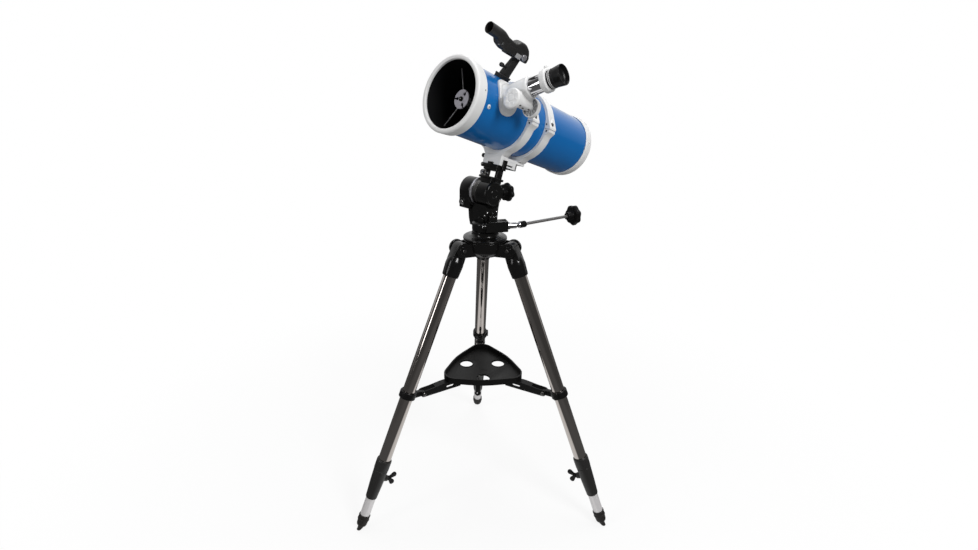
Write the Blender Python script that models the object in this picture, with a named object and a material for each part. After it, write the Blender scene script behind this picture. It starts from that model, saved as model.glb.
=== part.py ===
"""Reflecting telescope on a slow-motion alt-azimuth head and a folding three-legged stand.

Metres, +Z up. The origin is on the floor, under the middle of the stand's footprint.
"""
from math import cos, pi, radians, sin, tan, tau

import bmesh
import bpy
from mathutils import Matrix, Vector

# Driving dimensions of the stand.
GAP = 0.0003
LEG_TILT = radians(22.47)
LEG_HEADINGS = {"left": radians(210), "right": radians(330), "back": radians(90)}
PIVOT_Z = 0.666
LEG_LENGTH = PIVOT_Z / cos(LEG_TILT)
PIVOT_R = 0.0659
FOOT_R = PIVOT_R + PIVOT_Z * tan(LEG_TILT)
STAND_Y = -FOOT_R / 4
UPPER_LEG_R = 0.015
UPPER_LEG_BORE = 0.0136
LOWER_LEG_R = 0.0117
LOWER_LEG_BORE = 0.0102
LEG_SIDES = 14
SCREW_Z = 0.138 - LEG_LENGTH
SLEEVE_STEP = 0.152 - LEG_LENGTH
COLLAR_Z = -0.3604
BRACE_HINGE = (-0.0378, -0.3534)
BRACE_LENGTH = 0.098
BRACE_RISE = 0.0117
TRAY_FLOOR_Z = 0.340
TRAY_THICK = 0.003
TRAY_CORNER_AT = 0.074
TRAY_CORNER_R = 0.0305
TRAY_BULGE = 0.008
TRAY_RIM = 0.012
EYEPIECE_HOLE_R = 0.0159
EYEPIECE_HOLES_AT = 0.046

# Driving dimensions of the head.
HUB_TOP_Z = 0.680
HEAD_Z = 0.7003
HEADING = radians(-136.12)
ELEVATION = radians(19.15)
ALTITUDE_Z = 0.785
DRUM_R = 0.028
DRUM_Y = (-0.0175, 0.027)
HOUSING_R = 0.029
HOUSING_Y = (-0.056, -0.0225)
WORM_Y = -0.045
WORM_DROP = 0.025
ARM_TOP_Z = ALTITUDE_Z - WORM_DROP - 0.0115
SADDLE_Z = 0.063
SADDLE_X = (-0.0125, 0.0115)
SADDLE_HALF = 0.0250
KEY_HEIGHT = 0.0045
POST_TOP = 0.0520
SADDLE_SCREW_AT = (0.003, 0, 0.0425)
AZ_WORM_Z = 0.715
AZ_WORM_START = (0.022, 0.0195)
AZ_WORM_TURN = radians(32)
AZ_WORM_REACH = 0.073
AZ_ROD_START = (AZ_WORM_START[0] - (AZ_WORM_REACH + 0.0008) * cos(AZ_WORM_TURN),
                AZ_WORM_START[1] + (AZ_WORM_REACH + 0.0008) * sin(AZ_WORM_TURN))
AZ_ROD_TURN = radians(12)
KNOB_R = 0.0205

# Driving dimensions of the tube, measured back from its front lip.
TUBE_R = 0.070
TUBE_WALL = 0.0015
TUBE_SIDES = 36
TUBE_LENGTH = 0.4185
LIP_X = 0.1699
AXIS_Z = 0.1639
FRONT_RING_R = 0.0764
REAR_RING_R = 0.0733
RING_R = 0.0768
RING_WIDTH = 0.023
RING_OFFSETS = {"front": -0.1735, "rear": -0.2355}
RING_HINGE_Y = -0.0822
RING_BOLT_Y = 0.0775
LUG_END_Y = 0.0850
PLATE_TOP = -0.0799
BLOCK_X = (-0.1850, -0.1622)
MIRROR_R = 0.057
SPIDER_OFFSET = -0.042
VANE_ANGLES = [radians(-6 + 120 * k) for k in range(3)]
FOCUS_OFFSET = -0.091
FOCUS_ANGLE = radians(22)
DRAWTUBE_R = 0.0173
BARREL_R = 0.0158
PINION_R = 0.006
PINION_TEETH = 12
PINION_AT = (0.025, 0.1055)
TOOTH_PITCH = tau * PINION_R / PINION_TEETH
RACK_FOOT = 0.0180
RACK_TIP = 0.0196
RACK_TEETH = 24
FINDER_ANGLE = radians(69)


for old in list(bpy.data.objects):
    bpy.data.objects.remove(old, do_unlink=True)


def finish(bm):
    """Turn a closed bmesh into a smooth-shaded mesh with its faces pointing out."""
    bmesh.ops.recalc_face_normals(bm, faces=bm.faces)
    mesh = bpy.data.meshes.new("shape")
    bm.to_mesh(mesh)
    bm.free()
    mesh.shade_smooth()
    mesh.set_sharp_from_angle(angle=radians(32))
    return mesh


def lathe(profile, segments=20):
    """Turn a closed (radius, height) outline about Z; points on the axis become one vertex."""
    bm = bmesh.new()
    rings = []
    for radius, height in profile:
        count = segments if radius > 1e-6 else 1
        angles = [tau * k / segments for k in range(count)]
        rings.append([bm.verts.new((radius * cos(a), radius * sin(a), height)) for a in angles])
    for ring, following in zip(rings, rings[1:] + rings[:1]):
        for k in range(segments):
            corners = [ring[k % len(ring)], ring[(k + 1) % len(ring)]]
            corners += [following[(k + 1) % len(following)], following[k % len(following)]]
            corners = list(dict.fromkeys(corners))
            if len(corners) > 2:
                bm.faces.new(corners)
    return finish(bm)


def rod(radius, bottom, top, segments=20):
    """A plain round bar along Z."""
    return lathe([(0, bottom), (radius, bottom), (radius, top), (0, top)], segments)


def pipe(radius, bore, bottom, top, segments=20):
    """A straight tube along Z, open at both ends."""
    return lathe([(bore, bottom), (radius, bottom), (radius, top), (bore, top)], segments)


def prism(outline, bottom, top):
    """Extrude a flat (x, y) outline along Z."""
    bm = bmesh.new()
    face = bm.faces.new([bm.verts.new((x, y, bottom)) for x, y in outline])
    grown = bmesh.ops.extrude_face_region(bm, geom=[face])["geom"]
    lifted = [v for v in grown if isinstance(v, bmesh.types.BMVert)]
    bmesh.ops.translate(bm, verts=lifted, vec=(0, 0, top - bottom))
    return finish(bm)


def box(low, high):
    """A block between two corners."""
    corners = [(low[0], low[1]), (high[0], low[1]), (high[0], high[1]), (low[0], high[1])]
    return prism(corners, low[2], high[2])


def arc(x, y, radius, start, end, steps):
    """Points on a circle from one angle to another, both ends included."""
    angles = [start + (end - start) * k / steps for k in range(steps + 1)]
    return [(x + radius * cos(a), y + radius * sin(a)) for a in angles]


def turned(mesh, *, axis="Z", angle=0.0, move=(0, 0, 0)):
    """Turn a mesh about a main axis, then move it."""
    mesh.transform(Matrix.Translation(move) @ Matrix.Rotation(angle, 4, axis))
    return mesh


def along_x(mesh, move=(0, 0, 0)):
    """Lay a shape made along Z down along +X."""
    return turned(mesh, axis="Y", angle=pi / 2, move=move)


def along_y(mesh, move=(0, 0, 0)):
    """Lay a shape made along Z down along +Y, keeping X."""
    return turned(mesh, axis="X", angle=-pi / 2, move=move)


def upright(outline, start, end):
    """Extrude a side outline given as (x, z) across Y."""
    return turned(prism(outline, -end, -start), axis="X", angle=pi / 2)


def to_rail(mesh):
    """Stand a (y, z) section up so that it runs along X."""
    mesh.transform(Matrix(((0, 0, 1, 0), (1, 0, 0, 0), (0, 1, 0, 0), (0, 0, 0, 1))))
    return mesh


def combine(base, tool, operation):
    """Boolean of two closed meshes, as a new mesh; both inputs are used up."""
    holder = bpy.data.objects.new("base", base)
    other = bpy.data.objects.new("tool", tool)
    for item in (holder, other):
        bpy.context.scene.collection.objects.link(item)
    step = holder.modifiers.new("step", "BOOLEAN")
    step.operation = operation
    step.solver = "EXACT"
    step.object = other
    graph = bpy.context.evaluated_depsgraph_get()
    result = bpy.data.meshes.new_from_object(holder.evaluated_get(graph))
    for item in (holder, other):
        bpy.data.objects.remove(item, do_unlink=True)
    result.shade_smooth()
    result.set_sharp_from_angle(angle=radians(32))
    return result


def joined(base, *tools):
    """One solid out of overlapping solids."""
    for tool in tools:
        base = combine(base, tool, "UNION")
    return base


def cut(base, *tools):
    """A solid with others taken out of it."""
    for tool in tools:
        base = combine(base, tool, "DIFFERENCE")
    return base


def empty(name, parent, location=(0, 0, 0), rotation=(0, 0, 0)):
    """A frame to hang pieces on, with its origin on a joint's axis."""
    frame = bpy.data.objects.new(name, None)
    bpy.context.scene.collection.objects.link(frame)
    frame.parent = parent
    frame.location = location
    frame.rotation_euler = rotation
    return frame


def material(name, colour, roughness, metallic=0.0):
    """A plain Principled material."""
    made = bpy.data.materials.new(name)
    made.use_nodes = True
    shader = made.node_tree.nodes["Principled BSDF"]
    shader.inputs["Base Color"].default_value = (*colour, 1)
    shader.inputs["Roughness"].default_value = roughness
    shader.inputs["Metallic"].default_value = metallic
    return made


def piece(name, mesh, parent, finish_of):
    """One named sub-part, hung on a frame."""
    mesh.name = name
    mesh.materials.clear()
    mesh.materials.append(finish_of)
    item = bpy.data.objects.new(name, mesh)
    bpy.context.scene.collection.objects.link(item)
    item.parent = parent
    return item


BLUE = material("blue_gloss_paint", (0.012, 0.16, 0.47), 0.18, 0.1)
WHITE = material("white_paint", (0.80, 0.80, 0.79), 0.35)
BLACK = material("black_casting", (0.014, 0.014, 0.015), 0.42)
RUBBER = material("black_rubber", (0.012, 0.012, 0.012), 0.75)
STEEL = material("polished_steel", (0.55, 0.52, 0.49), 0.16, 1.0)
CHROME = material("chrome", (0.80, 0.80, 0.82), 0.07, 1.0)
MIRROR = material("mirror_glass", (0.90, 0.91, 0.92), 0.02, 1.0)
GREY = material("grey_alloy", (0.60, 0.59, 0.64), 0.35, 0.6)

stand = empty("stand_axis", None, (0, STAND_Y, 0))


def lobed_knob(bottom, top, hub_top):
    """A seven-lobed hand knob along Z with a round hub behind it."""
    lobes = 7
    steps = 28
    outline = []
    for k in range(steps):
        angle = tau * k / steps
        radius = KNOB_R - 0.0022 + 0.0022 * cos(lobes * angle)
        outline.append((radius * cos(angle), radius * sin(angle)))
    return joined(prism(outline, bottom, top), rod(0.009, top - 0.002, hub_top, 16))


def tripod_hub():
    """Cast hub: a turned body with a pair of ears and a pivot bolt for each leg."""
    top = HUB_TOP_Z - GAP
    body = lathe([(0, 0.644), (0.036, 0.640), (0.046, 0.650), (0.048, top), (0, top)], 26)
    ear_r = 0.0175
    for heading in LEG_HEADINGS.values():
        outline = arc(PIVOT_R, PIVOT_Z, ear_r, -pi / 2 + 0.25, radians(135), 9)
        outline += [(0.030, HUB_TOP_Z - 0.0015), (0.030, 0.646)]
        for side in (-1, 1):
            ear = upright(outline, side * 0.0135, side * 0.0195)
            body = joined(body, turned(ear, angle=heading))
        bolt = along_y(rod(0.004, -0.0165, 0.0165, 10), (PIVOT_R, 0, PIVOT_Z))
        body = joined(body, turned(bolt, angle=heading))
        for side in (-1, 1):
            head = along_y(rod(0.0075, side * 0.019, side * 0.0225, 6), (PIVOT_R, 0, PIVOT_Z))
            body = joined(body, turned(head, angle=heading))
    return body


piece("tripod_hub", tripod_hub(), stand, BLACK)


def leg_bracket():
    """Casting at the top of a leg: a socket for the tube that swells into the pivot tongue."""
    bore = UPPER_LEG_R + GAP
    socket = lathe([(0, -0.033), (bore, -0.033), (bore, -0.066), (0.0185, -0.066), (0.0205, -0.034),
                    (0.0150, -0.0185), (0, -0.0185)], LEG_SIDES)
    outline = arc(0, 0, 0.0155, -0.2, pi + 0.2, 9) + [(-0.0165, -0.030), (0.0165, -0.030)]
    tongue = upright(outline, -0.0132, 0.0132)
    return cut(joined(socket, tongue), along_y(rod(0.0043, -0.02, 0.02, 10)))


def lock_sleeve():
    """Moulded lock at the foot of the upper tube, stepped inside, with a boss for its screw."""
    low = 0.088 - LEG_LENGTH
    high = 0.191 - LEG_LENGTH
    wide = UPPER_LEG_R + GAP
    narrow = LOWER_LEG_R + GAP
    body = lathe([(narrow, low), (0.0134, low), (0.0158, low + 0.040), (0.0176, high - 0.012),
                  (0.0176, high - 0.002), (0.0168, high), (wide, high), (wide, SLEEVE_STEP),
                  (narrow, SLEEVE_STEP)], LEG_SIDES)
    boss = turned(rod(0.0072, 0.0136, 0.0245, 12), axis="Y", angle=-pi / 2, move=(0, 0, SCREW_Z))
    hole = turned(rod(0.0034, 0.0150, 0.03, 10), axis="Y", angle=-pi / 2, move=(0, 0, SCREW_Z))
    return cut(joined(body, boss), hole)


def wing_screw():
    """Clamp screw with a two-winged head, along the screw's own Z."""
    shank = lathe([(0, 0.0165), (0.003, 0.0165), (0.003, 0.0250), (0.0055, 0.0265),
                   (0.0055, 0.0330), (0, 0.0335)], 10)
    top = arc(0.0085, 0.0405, 0.0055, -0.6, pi - 0.6, 6)
    wing = top + [(0, 0.0320), (0.002, 0.0285)]
    pair = upright(wing, -0.0019, 0.0019)
    other = turned(upright(wing, -0.0019, 0.0019), angle=pi)
    return joined(shank, pair, other)


def foot():
    """Rubber foot with a narrow tip, cut flat where it meets the floor."""
    floor = -LEG_LENGTH
    socket = LOWER_LEG_R + GAP
    body = lathe([(0, floor - 0.006), (0.0055, floor - 0.006), (0.0062, floor + 0.008),
                  (0.0118, floor + 0.014), (0.0136, floor + 0.039), (0.0130, floor + 0.041),
                  (socket, floor + 0.041), (socket, floor + 0.022), (0, floor + 0.022)], LEG_SIDES)
    bm = bmesh.new()
    bm.from_mesh(body)
    everything = bm.verts[:] + bm.edges[:] + bm.faces[:]
    down = (-sin(LEG_TILT), 0, -cos(LEG_TILT))
    ground = (0, 0, floor)
    sliced = bmesh.ops.bisect_plane(bm, geom=everything, plane_co=ground, plane_no=down, clear_outer=True)
    rim = [e for e in sliced["geom_cut"] if isinstance(e, bmesh.types.BMEdge)]
    bmesh.ops.contextual_create(bm, geom=rim)
    return finish(bm)


def brace_collar():
    """Ring round the leg tube with a tongue and pin for the tray's brace."""
    hinge_x, hinge_z = BRACE_HINGE
    ring = pipe(0.0197, UPPER_LEG_R + GAP, COLLAR_Z - 0.008, COLLAR_Z + 0.008, LEG_SIDES)
    outline = arc(hinge_x, hinge_z, 0.0062, pi / 2, 3 * pi / 2, 7)
    outline += [(-0.0182, COLLAR_Z - 0.007), (-0.0182, COLLAR_Z + 0.0073)]
    tongue = upright(outline, -0.0058, 0.0058)
    pin = along_y(rod(0.003, -0.0125, 0.0125, 10), (hinge_x, 0, hinge_z))
    return joined(ring, tongue, pin)


def tray_brace():
    """Channel-shaped brace from a leg's collar to under the tray, along its own +X."""
    outline = arc(0, 0, 0.0078, pi / 2, 3 * pi / 2, 7)
    outline += [(BRACE_LENGTH, -0.0082), (BRACE_LENGTH, BRACE_RISE), (0.050, BRACE_RISE), (0.020, 0.0085)]
    body = upright(outline, -0.0092, 0.0092)
    inside = upright([(-0.02, -0.02), (BRACE_LENGTH - 0.012, -0.02), (BRACE_LENGTH - 0.012, 0.0075),
                      (0.032, 0.0055), (0.026, 0.02), (-0.02, 0.02)], -0.0064, 0.0064)
    slot = arc(0.062, 0.001, 0.0028, pi / 2, 3 * pi / 2, 4) + arc(0.076, 0.001, 0.0028, -pi / 2, pi / 2, 4)
    slot = upright(slot, -0.02, 0.02)
    return cut(body, inside, along_y(rod(0.0034, -0.02, 0.02, 10)), slot)


def make_leg(side, heading):
    """All pieces of one leg, hung on the leg's pivot with -Z down the leg."""
    pivot_at = (PIVOT_R * cos(heading), PIVOT_R * sin(heading), PIVOT_Z)
    pivot = empty(f"leg_{side}_pivot", stand, pivot_at, (0, -LEG_TILT, heading))
    tube_foot = SLEEVE_STEP + GAP
    piece(f"leg_bracket_{side}", leg_bracket(), pivot, BLACK)
    piece(f"upper_leg_{side}", pipe(UPPER_LEG_R, UPPER_LEG_BORE, tube_foot, -0.0333, LEG_SIDES), pivot, STEEL)
    piece(f"lock_sleeve_{side}", lock_sleeve(), pivot, BLACK)
    lower = pipe(LOWER_LEG_R, LOWER_LEG_BORE, 0.0223 - LEG_LENGTH, 0.505 - LEG_LENGTH, LEG_SIDES)
    piece(f"lower_leg_{side}", lower, pivot, STEEL)
    piece(f"foot_{side}", foot(), pivot, RUBBER)
    screw = empty(f"wing_{side}_axis", pivot, (0, 0, SCREW_Z), (0, -pi / 2, 0))
    piece(f"wing_screw_{side}", wing_screw(), screw, BLACK)
    piece(f"brace_collar_{side}", brace_collar(), pivot, BLACK)
    hinge = empty(f"brace_{side}_hinge", pivot, (BRACE_HINGE[0], 0, BRACE_HINGE[1]), (0, -LEG_TILT, pi))
    piece(f"tray_brace_{side}", tray_brace(), hinge, BLACK)


for leg_side, leg_heading in LEG_HEADINGS.items():
    make_leg(leg_side, leg_heading)


def tray_outline(inset):
    """Rounded triangle with bulging sides, its corners towards the legs."""
    points = []
    for corner in range(3):
        middle = radians(90 + 120 * corner)
        x = TRAY_CORNER_AT * cos(middle)
        y = TRAY_CORNER_AT * sin(middle)
        points += arc(x, y, TRAY_CORNER_R - inset, middle - radians(48), middle + radians(48), 6)
        side = middle + radians(60)
        reach = TRAY_CORNER_AT / 2 + TRAY_CORNER_R + TRAY_BULGE - inset
        for slide in (0.022, 0.0, -0.022):
            out = reach - TRAY_BULGE * (slide / 0.05) ** 2
            points.append((out * cos(side) + slide * sin(side), out * sin(side) - slide * cos(side)))
    return points


def tray():
    """Shallow moulded tray with a raised rim and three eyepiece holes."""
    body = prism(tray_outline(0), TRAY_FLOOR_Z - TRAY_THICK, TRAY_FLOOR_Z + TRAY_RIM)
    body = cut(body, prism(tray_outline(0.0032), TRAY_FLOOR_Z, TRAY_FLOOR_Z + 0.05))
    for hole in range(3):
        angle = radians(30 + 120 * hole)
        at = (EYEPIECE_HOLES_AT * cos(angle), EYEPIECE_HOLES_AT * sin(angle), 0)
        body = cut(body, turned(rod(EYEPIECE_HOLE_R, 0.3, 0.4, 18), move=at))
    return body


piece("tray", tray(), stand, BLACK)


def mount_base():
    """Turned flange and cone that carry the head on the stand."""
    low = HUB_TOP_Z
    return lathe([(0, low), (0.0495, low), (0.0500, low + 0.001), (0.0490, low + 0.0055),
                  (0.0400, low + 0.0075), (0.0320, low + 0.0110), (0.0275, low + 0.0170),
                  (0.0270, HEAD_Z - GAP), (0, HEAD_Z - GAP)], 26)


piece("mount_base", mount_base(), stand, BLACK)

head = empty("azimuth_axis", stand, (0, 0, 0), (0, 0, HEADING))


def head_casting():
    """Head casting: turned foot, worm box, side arm and a cradle block under the drum."""
    foot_ring = lathe([(0, HEAD_Z), (0.029, HEAD_Z), (0.030, HEAD_Z + 0.002), (0.030, 0.718),
                       (0.026, 0.722), (0, 0.722)], 26)
    arm = upright([(-0.021, 0.706), (0.021, 0.706), (0.024, 0.722), (0.024, ARM_TOP_Z), (-0.024, ARM_TOP_Z),
                   (-0.024, 0.722)], -0.047, -0.0195)
    pillar = upright([(-0.016, 0.715), (0.016, 0.715), (0.020, 0.750), (0.024, 0.772), (-0.024, 0.772),
                      (-0.020, 0.750)], -0.0222, 0.021)
    boss = along_x(rod(0.0085, -0.014, 0.0215, 14), (0, 0.004, 0.7265))
    body = joined(foot_ring, arm, pillar, boss)
    drum_room = along_y(rod(DRUM_R + 0.0035, -0.0222, 0.05, 30), (0, 0, ALTITUDE_Z))
    body = cut(body, drum_room)
    worm_box = box((0, -0.0105, 0.7035), (0.070, 0.0105, 0.7262))
    nose = along_x(rod(0.0085, -0.003, AZ_WORM_REACH, 14), (0, 0, AZ_WORM_Z))
    worm_box = turned(joined(worm_box, nose), angle=pi - AZ_WORM_TURN, move=(*AZ_WORM_START, 0))
    return joined(body, worm_box)


piece("head_casting", head_casting(), head, BLACK)


def gear_housing():
    """Round-topped gear case beside the drum, with the worm's tube across its foot."""
    low = -WORM_DROP - 0.0112
    outline = arc(0, 0, HOUSING_R, 0, pi, 20) + [(-HOUSING_R, low), (HOUSING_R, low)]
    case = upright(outline, *HOUSING_Y)
    lid = along_y(rod(0.022, HOUSING_Y[0] - 0.0025, HOUSING_Y[0] + 0.001, 24))
    worm_tube = along_x(rod(0.0105, -0.036, 0.033, 20), (0, WORM_Y, -WORM_DROP))
    body = joined(case, lid, worm_tube)
    shaft_bore = along_y(rod(0.0093, -0.044, 0, 20))
    worm_bore = along_x(rod(0.0043, -0.05, -0.020, 14), (0, WORM_Y, -WORM_DROP))
    return cut(body, shaft_bore, worm_bore)


altitude = empty("altitude_frame", head, (0, 0, ALTITUDE_Z))
piece("gear_housing", gear_housing(), altitude, BLACK)

fine_altitude = empty("altitude_worm_axis", altitude, (0, WORM_Y, -WORM_DROP), (0, -pi / 2, 0))
piece("altitude_shaft", rod(0.004, 0.0205, 0.1045, 14), fine_altitude, CHROME)
knob_mesh = cut(lobed_knob(0.110, 0.122, 0.100), rod(0.0043, 0.09, 0.1048, 14))
piece("altitude_knob", knob_mesh, fine_altitude, BLACK)

fine_azimuth = empty("azimuth_rod_axis", head, (*AZ_ROD_START, AZ_WORM_Z), (0, pi / 2, pi - AZ_ROD_TURN))


def rod_coupling():
    """Bright coupling that joins the fine-motion rod to the worm, domed at the worm's end."""
    dome = [(0.0068 * sin(a), 0.0068 - 0.0068 * cos(a)) for a in (0, 0.5, 1.0, pi / 2)]
    body = lathe(dome + [(0.0068, 0.015), (0.0055, 0.0165), (0, 0.0165)], 12)
    return cut(body, rod(0.0038, 0.0100, 0.03, 10))


def slow_rod():
    """Fine-motion rod with its collar."""
    return lathe([(0, 0.0103), (0.0035, 0.0103), (0.0035, 0.0168), (0.0060, 0.0170), (0.0060, 0.0240),
                  (0.0035, 0.0250), (0.0035, 0.1500), (0, 0.1500)], 10)


piece("rod_coupling", rod_coupling(), fine_azimuth, CHROME)
piece("slow_rod", slow_rod(), fine_azimuth, STEEL)
rod_knob = cut(lobed_knob(0.154, 0.166, 0.142), rod(0.0038, 0.13, 0.1503, 14))
piece("azimuth_knob", rod_knob, fine_azimuth, BLACK)

tilt = empty("altitude_axis", altitude, (0, 0, 0), (0, -ELEVATION, 0))

setting_ring = pipe(0.0312, 0.0097, DRUM_Y[0] - 0.0040, DRUM_Y[0] - GAP, 28)
piece("setting_circle", along_y(setting_ring), tilt, GREY)


def altitude_cradle():
    """Drum on the altitude axis, with the open bracket and the keyed saddle and its side jaw above."""
    start, end = DRUM_Y
    drum = along_y(lathe([(0, start), (DRUM_R, start), (DRUM_R, end - 0.0015), (DRUM_R - 0.0015, end),
                          (0.024, end), (0.023, end - 0.0012), (0, end - 0.0012)], 26))
    shaft = along_y(rod(0.009, -0.0435, start + 0.002, 20))
    neck = box((-0.017, -0.0135, 0.010), (0.017, 0.0225, 0.034))
    deck = box((-0.0195, -0.0165, 0.0305), (0.0195, 0.0255, 0.0355))
    far_post = box((-0.008, -0.0150, 0.030), (0.008, -0.0080, POST_TOP))
    near_post = box((-0.012, 0.0170, 0.012), (0.006, 0.0250, POST_TOP))
    rear, front = SADDLE_X
    bridge = box((rear + 0.0004, -0.0160, POST_TOP - 0.0025), (front - 0.0004, 0.0246, SADDLE_Z - 0.0080))
    plate = box((rear, -SADDLE_HALF, SADDLE_Z - 0.0085), (front, SADDLE_HALF, SADDLE_Z))
    key_top = SADDLE_Z + KEY_HEIGHT
    key = [(-0.0056, SADDLE_Z - 0.001), (0.0056, SADDLE_Z - 0.001), (0.0076, key_top), (-0.0076, key_top)]
    key = to_rail(prism(key, rear + 0.0006, front - 0.0006))
    jaw = [(0.0240, 0.0542), (0.0300, 0.0542), (0.0300, 0.0765)]
    jaw += [(0.0254, 0.0765), (0.0254, 0.0620), (0.0240, 0.0620)]
    jaw = to_rail(prism(jaw, -0.0118, -0.0008))
    body = joined(drum, shaft, neck, deck, far_post, near_post, bridge, plate, key, jaw)
    return cut(body, along_y(rod(0.0033, -0.03, -0.005, 12), SADDLE_SCREW_AT))


piece("altitude_cradle", altitude_cradle(), tilt, BLACK)

saddle_axis = empty("saddle_screw_axis", tilt, SADDLE_SCREW_AT, (pi / 2, 0, 0))


def saddle_screw():
    """Knurled screw that locks the saddle."""
    steps = 24
    outline = []
    for k in range(steps):
        radius = 0.0066 if k % 2 else 0.0060
        outline.append((radius * cos(tau * k / steps), radius * sin(tau * k / steps)))
    return joined(prism(outline, 0.0165, 0.0245), rod(0.003, 0.006, 0.018, 12))


piece("saddle_screw", saddle_screw(), saddle_axis, CHROME)

tube_axis = empty("tube_axis", tilt, (LIP_X, 0, AXIS_Z))


def dovetail_bar():
    """White rail grooved for the saddle's key, with a wide front block and the plate for both rings."""
    foot_z = SADDLE_Z + GAP - AXIS_Z
    rail = box((-0.222, -0.0205, foot_z), (-0.166, 0.0205, PLATE_TOP - 0.004))
    block = box((BLOCK_X[0], -SADDLE_HALF, foot_z), (BLOCK_X[1], SADDLE_HALF, PLATE_TOP))
    plate = box((-0.250, -0.0210, PLATE_TOP - 0.0062), (BLOCK_X[0] + 0.002, 0.0210, PLATE_TOP - 0.0001))
    groove_top = foot_z + KEY_HEIGHT
    groove = [(-0.0063, foot_z - 0.001), (0.0063, foot_z - 0.001)]
    groove += [(0.0081, groove_top), (-0.0081, groove_top)]
    groove = to_rail(prism(groove, -0.3, -0.1))
    slot = box((-0.212, 0.0150, foot_z + 0.0035), (-0.189, 0.03, foot_z + 0.0068))
    return cut(joined(rail, block, plate), groove, slot)


piece("dovetail_bar", dovetail_bar(), tube_axis, WHITE)


def half_ring(upper):
    """Half of a cast tube ring about X, with its clamp lug and hinge knuckles."""
    half = RING_WIDTH / 2
    lift = 1 if upper else -1
    bore = TUBE_R + 0.0004
    section = arc(0, 0, bore, 0.006, pi - 0.006, 20)
    if upper:
        section += arc(0, 0, RING_R, pi - 0.006, 0.46, 18)
        section += [(LUG_END_Y, 0.0040), (LUG_END_Y, 0.0005)]
    else:
        section += arc(0, 0, RING_R, pi - 0.006, 0.20, 20)
        section += [(0.0800, 0.0105), (LUG_END_Y - 0.0008, 0.0060), (LUG_END_Y - 0.0008, 0.0005)]
    body = to_rail(prism([(y, lift * z) for y, z in section], -half, half))
    knuckle = arc(RING_HINGE_Y, 0, 0.0046, radians(125), radians(370), 9)
    knuckle += [(-0.0738, 0.0012), (-0.0726, 0.0190)]
    inset = half - 0.0005
    for start, end in [(-0.0036, 0.0036)] if upper else [(-inset, -0.0040), (0.0040, inset)]:
        body = joined(body, to_rail(prism([(y, lift * z) for y, z in knuckle], start, end)))
    if upper:
        pin_hole = along_x(rod(0.0024, -0.02, 0.02, 10), (0, RING_HINGE_Y, 0))
        bolt_room = lathe([(0, -0.01), (0.0030, -0.01), (0.0030, 0.0082), (0.0058, 0.0082),
                           (0.0058, 0.05), (0, 0.05)], 12)
        return cut(body, pin_hole, turned(bolt_room, move=(0, RING_BOLT_Y, 0)))
    foot = [(-SADDLE_HALF, PLATE_TOP + GAP), (SADDLE_HALF, PLATE_TOP + GAP)]
    foot += arc(0, 0, 0.0736, 0.56 - pi / 2, -0.56 - pi / 2, 10)
    foot_block = to_rail(prism(foot, -inset, inset))
    pin = along_x(rod(0.0020, 0.0005 - inset, inset - 0.0005, 10), (0, RING_HINGE_Y, 0))
    bolt_hole = turned(rod(0.0033, -0.0100, 0.01, 10), move=(0, RING_BOLT_Y, 0))
    return cut(joined(body, foot_block, pin), bolt_hole)


def ring_bolt():
    """Clamp bolt of a tube ring, with its round head sunk in the upper lug."""
    return lathe([(0, -0.0085), (0.0025, -0.0085), (0.0025, 0.0086), (0.0048, 0.0086), (0.0048, 0.0138),
                  (0.0042, 0.0148), (0, 0.0148)], 12)


for place, offset in RING_OFFSETS.items():
    ring_frame = empty(f"ring_{place}_frame", tube_axis, (offset, 0, 0))
    piece(f"ring_lower_{place}", half_ring(False), ring_frame, WHITE)
    hinge_frame = empty(f"ring_{place}_hinge", ring_frame, (0, RING_HINGE_Y, 0))
    upper_half = turned(half_ring(True), move=(0, -RING_HINGE_Y, 0))
    piece(f"ring_upper_{place}", upper_half, hinge_frame, WHITE)
    bolt_frame = empty(f"ring_{place}_bolt_axis", ring_frame, (0, RING_BOLT_Y, 0))
    piece(f"ring_bolt_{place}", ring_bolt(), bolt_frame, CHROME)

focus_frame = empty("focuser_axis", tube_axis, (FOCUS_OFFSET, 0, 0), (FOCUS_ANGLE - pi / 2, 0, 0))


def optical_tube():
    """Rolled tube with the hole that the focuser looks through."""
    shell = along_x(pipe(TUBE_R, TUBE_R - TUBE_WALL, -0.412, -0.004, TUBE_SIDES))
    hole = rod(0.0205, 0.04, 0.10, 20)
    return cut(shell, turned(hole, axis="X", angle=FOCUS_ANGLE - pi / 2, move=(FOCUS_OFFSET, 0, 0)))


def front_ring():
    """Lip ring round the tube's mouth, with a rolled front edge."""
    outer = FRONT_RING_R
    sleeve = TUBE_R + GAP
    roll = arc(outer - 0.0045, -0.0045, 0.0045, 0, pi / 2, 3)
    inner = [(0.0688, 0.0), (0.0673, -0.0015), (0.0673, -0.0036), (sleeve, -0.0036), (sleeve, -0.025)]
    return along_x(lathe([(outer - 0.0012, -0.025)] + roll + inner, TUBE_SIDES))


def rear_cell():
    """Rear ring with the closed back and the pedestal that the mirror lies on."""
    sleeve = TUBE_R + GAP
    back = -TUBE_LENGTH
    outer = REAR_RING_R
    return along_x(lathe([(0, back), (0.066, back), (outer, back + 0.003), (outer, -0.396),
                          (outer - 0.002, -0.394), (sleeve, -0.394), (sleeve, -0.4123), (0.050, -0.4123),
                          (0.050, -0.3933), (0, -0.3933)], TUBE_SIDES))


def primary_mirror():
    """Main mirror, a thick glass disc with a hollowed face."""
    depth = 0.0017
    dish = [(MIRROR_R * k / 3, -0.378 - depth * (1 - (k / 3) ** 2)) for k in range(3, -1, -1)]
    return along_x(lathe([(0, -0.393), (MIRROR_R, -0.393)] + dish, 28))


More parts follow.
